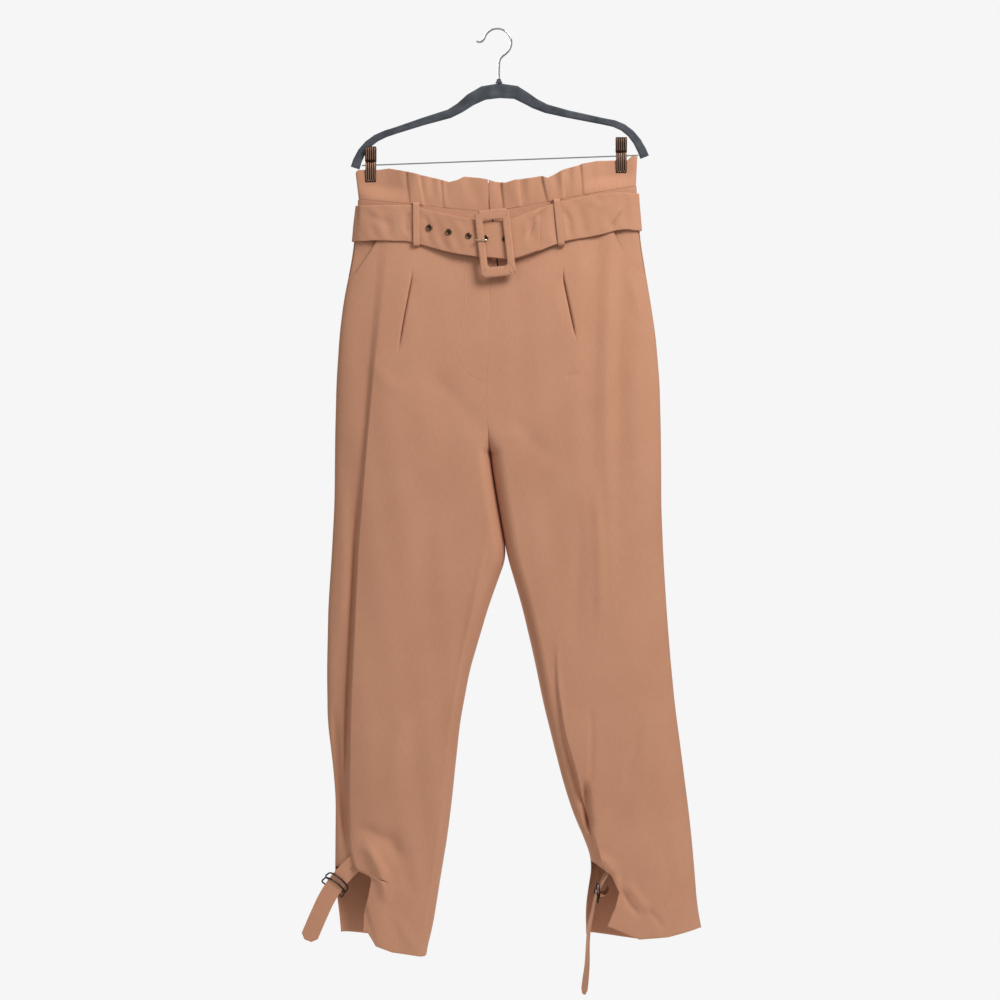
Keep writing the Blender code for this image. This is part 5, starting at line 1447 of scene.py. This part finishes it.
class TROUSERS_OT_clips(bpy.types.Operator):
    """Ribbed spring clips that hold the ruffle at both ends"""
    bl_idname = "trousers.clips"
    bl_label = "Clips"

    def execute(self, context):
        (low_x, low_z), (high_x, high_z) = BAR_ENDS
        for side, x in zip(("right", "left"), CLIP_X):
            z = low_z + (high_z - low_z) * (x - low_x) / (high_x - low_x)
            for face, sign in (("front", -1), ("back", 1)):
                plates, ribs = self.jaw(f"{side}_clip_{face}", x, z, sign)
                # The plates take the dark copy of the rose gold as painted shade between the ribs.
                finish_piece(plates, finish("rose_shaded"), "clip_metal", f"clip_{side}_{face}")
                finish_piece(ribs, finish("rose"), "clip_metal")
            spring = wire(f"{side}_clip_coil", self.coil(x, z), COIL_WIRE)
            finish_piece(spring, finish("steel"), "clip_metal", f"clip_{side}_spring")
        return {"FINISHED"}

    @staticmethod
    def coil(x, z):
        """Points of the spring's coil round the bar."""
        points = []
        for step in range(121):
            turn = 2 * pi * step / 20
            points.append((x + COIL_LENGTH * (step / 120 - 0.5), COIL_RADIUS * cos(turn),
                           z + COIL_RADIUS * sin(turn)))
        return points

    @staticmethod
    def jaw(name, x, z, sign):
        """Pressed plate: a thumb piece above the bar and a longer jaw below it, both with upright ribs."""
        def out(up):
            return along(JAW_PROFILE, up) + GAP

        parts, raised = [], []
        for high, low, wide in ((0.0270, 0.0052, CLIP_WIDTH), (0.0048, -0.0250, CLIP_WIDTH - 0.0008)):
            middle, length = (high + low) / 2, high - low
            lean = np.arctan2(out(high) - out(low), length)
            plate = block(name, (wide, PLATE_THICK, length), (0, 0, 0), 0.0004)
            parts.append((plate, middle, lean))
            for rib in range(5):
                offset = (rib - 2) * RIB_STEP
                bar = block(name, (0.0015, 0.0012, length - 0.0042), (offset, -0.0007, 0.0004), 0.0005)
                raised.append((bar, middle, lean))
            if low < 0:
                for rib in range(4):
                    spot = ((rib - 1.5) * RIB_STEP, -0.0007, -length / 2 + 0.0018)
                    tooth = block(name, (0.0016, 0.0012, 0.0016), spot, 0.0004)
                    raised.append((tooth, middle, lean))
        made = []
        for ending, group in (("", parts), ("_ribs", raised)):
            for part, middle, lean in group:
                place = Matrix.Translation((0, -out(middle), middle)) @ Matrix.Rotation(lean, 4, "X")
                part.data.transform(place)
            whole = join(name + ending, [part for part, _, _ in group])
            if sign > 0:
                whole.data.transform(Matrix.Rotation(pi, 4, "Z"))
            whole.data.transform(Matrix.Translation((x, 0, z)))
            made.append(whole)
        return made


class TROUSERS_OT_stage(bpy.types.Operator):
    """Camera, pale floor and soft studio lights"""
    bl_idname = "trousers.stage"
    bl_label = "Stage"

    def execute(self, context):
        settings = context.scene.trousers_stage
        data = bpy.data.cameras.new("Camera")
        camera = link("Camera", data)
        camera.location = (CAMERA_ASIDE, -CAMERA_AWAY, CAMERA_HIGH)
        camera.rotation_euler = (pi / 2, 0, 0)
        data.sensor_width = SENSOR
        data.lens = SENSOR * (CAMERA_AWAY - CLOTH_AHEAD) / VIEW_SIDE
        data.clip_end = 60.0
        context.scene.camera = camera
        self.floor()
        for name, place, size, power in (
                ("Key softbox", (1.4, -1.7, 1.4), 1.2, settings.key),
                ("Fill softbox", (-2.2, -3.2, 1.1), 1.8, settings.fill),
                ("Top softbox", (0.2, 0.6, 2.4), 1.6, settings.top),
                ("Back softbox", (-1.4, 3.4, 1.0), 1.8, settings.back)):
            light = bpy.data.lights.new(name, "AREA")
            light.size = size
            light.energy = power
            lamp = link(name, light)
            lamp.location = place
            lamp.rotation_euler = (Vector(LIGHT_AIM) - Vector(place)).to_track_quat("-Z", "Y").to_euler()
        self.surround(settings.ambient)
        context.scene.view_settings.view_transform = "Standard"
        return {"FINISHED"}

    @staticmethod
    def surround(ambient):
        """Even pale paper all round for the camera, and a weaker even light from it on the trousers."""
        world = bpy.data.worlds.new("Studio")
        bpy.context.scene.world = world
        world.use_nodes = True
        tree = world.node_tree
        tree.nodes.clear()
        lit = add_node(tree, "ShaderNodeBackground", [("Color", linear("#FFFFFF")), ("Strength", ambient)])
        seen = add_node(tree, "ShaderNodeBackground", [("Color", linear("#F6F6F6")), ("Strength", 1.0)])
        rays = add_node(tree, "ShaderNodeLightPath")
        mixed = add_node(tree, "ShaderNodeMixShader", [(0, rays.outputs["Is Camera Ray"]),
                                                       (1, lit.outputs["Background"]),
                                                       (2, seen.outputs["Background"])])
        add_node(tree, "ShaderNodeOutputWorld", [("Surface", mixed.outputs["Shader"])])

    @staticmethod
    def floor():
        """Round studio floor under the hanging trousers."""
        shape = bmesh.new()
        bmesh.ops.create_circle(shape, cap_ends=True, segments=96, radius=FLOOR_RADIUS,
                                matrix=Matrix.Translation((0, 0, FLOOR_Z)))
        mesh = bpy.data.meshes.new("Floor")
        shape.to_mesh(mesh)
        shape.free()
        mesh.materials.append(finish("floor"))
        link("Floor", mesh)


class ClothSettings(bpy.types.PropertyGroup):
    """Cloth of the garment"""
    cell: bpy.props.FloatProperty(name="Cell", description="Spacing of the cloth's grid", default=0.0026,
                                  min=0.001, max=0.02, subtype="DISTANCE", unit="LENGTH")
    # The dark colour is partly painted shade in the dips between the raised yarns.
    cloth_light: bpy.props.StringProperty(name="Light colour", description="Raised yarns, as sRGB hex",
                                          default="#CA9577")
    cloth_dark: bpy.props.StringProperty(name="Dark colour", description="Hollows between yarns, as sRGB hex",
                                         default="#BA8366")


class StageSettings(bpy.types.PropertyGroup):
    """Studio lights"""
    key: bpy.props.FloatProperty(
        name="Key", description="Power of the key softbox", default=74.0, min=0.0, unit="POWER")
    fill: bpy.props.FloatProperty(
        name="Fill", description="Power of the fill softbox", default=13.0, min=0.0, unit="POWER")
    top: bpy.props.FloatProperty(
        name="Top", description="Power of the overhead softbox", default=10.0, min=0.0, unit="POWER")
    back: bpy.props.FloatProperty(
        name="Back", description="Power of the softbox behind", default=105.0, min=0.0, unit="POWER")
    ambient: bpy.props.FloatProperty(
        name="Ambient", description="Strength of the even studio light", default=0.35, min=0.0)


OPERATORS = (TROUSERS_OT_stage, TROUSERS_OT_legs, TROUSERS_OT_waist, TROUSERS_OT_fly, TROUSERS_OT_belt,
             TROUSERS_OT_buckle, TROUSERS_OT_ankles, TROUSERS_OT_hanger, TROUSERS_OT_clips)


class TROUSERS_PT_panel(bpy.types.Panel):
    """Lists the steps in the order that they run"""
    bl_idname = "TROUSERS_PT_panel"
    bl_label = "Paperbag Trousers"
    bl_space_type = "VIEW_3D"
    bl_region_type = "UI"
    bl_category = "Trousers"

    def draw(self, context):
        for name in ("cell", "cloth_light", "cloth_dark"):
            self.layout.prop(context.scene.trousers_cloth, name)
        for name in ("key", "fill", "top", "back", "ambient"):
            self.layout.prop(context.scene.trousers_stage, name)
        for operator in OPERATORS:
            self.layout.operator(operator.bl_idname)


def register():
    for made in (ClothSettings, StageSettings, *OPERATORS, TROUSERS_PT_panel):
        bpy.utils.register_class(made)
    bpy.types.Scene.trousers_cloth = bpy.props.PointerProperty(type=ClothSettings)
    bpy.types.Scene.trousers_stage = bpy.props.PointerProperty(type=StageSettings)


def unregister():
    del bpy.types.Scene.trousers_stage
    del bpy.types.Scene.trousers_cloth
    for made in (TROUSERS_PT_panel, *reversed(OPERATORS), StageSettings, ClothSettings):
        bpy.utils.unregister_class(made)


def main():
    register()
    bpy.ops.trousers.stage()
    bpy.ops.trousers.legs()
    bpy.ops.trousers.waist()
    bpy.ops.trousers.fly()
    bpy.ops.trousers.belt()
    bpy.ops.trousers.buckle()
    bpy.ops.trousers.ankles()
    bpy.ops.trousers.hanger()
    bpy.ops.trousers.clips()


if __name__ == "__main__":
    main()
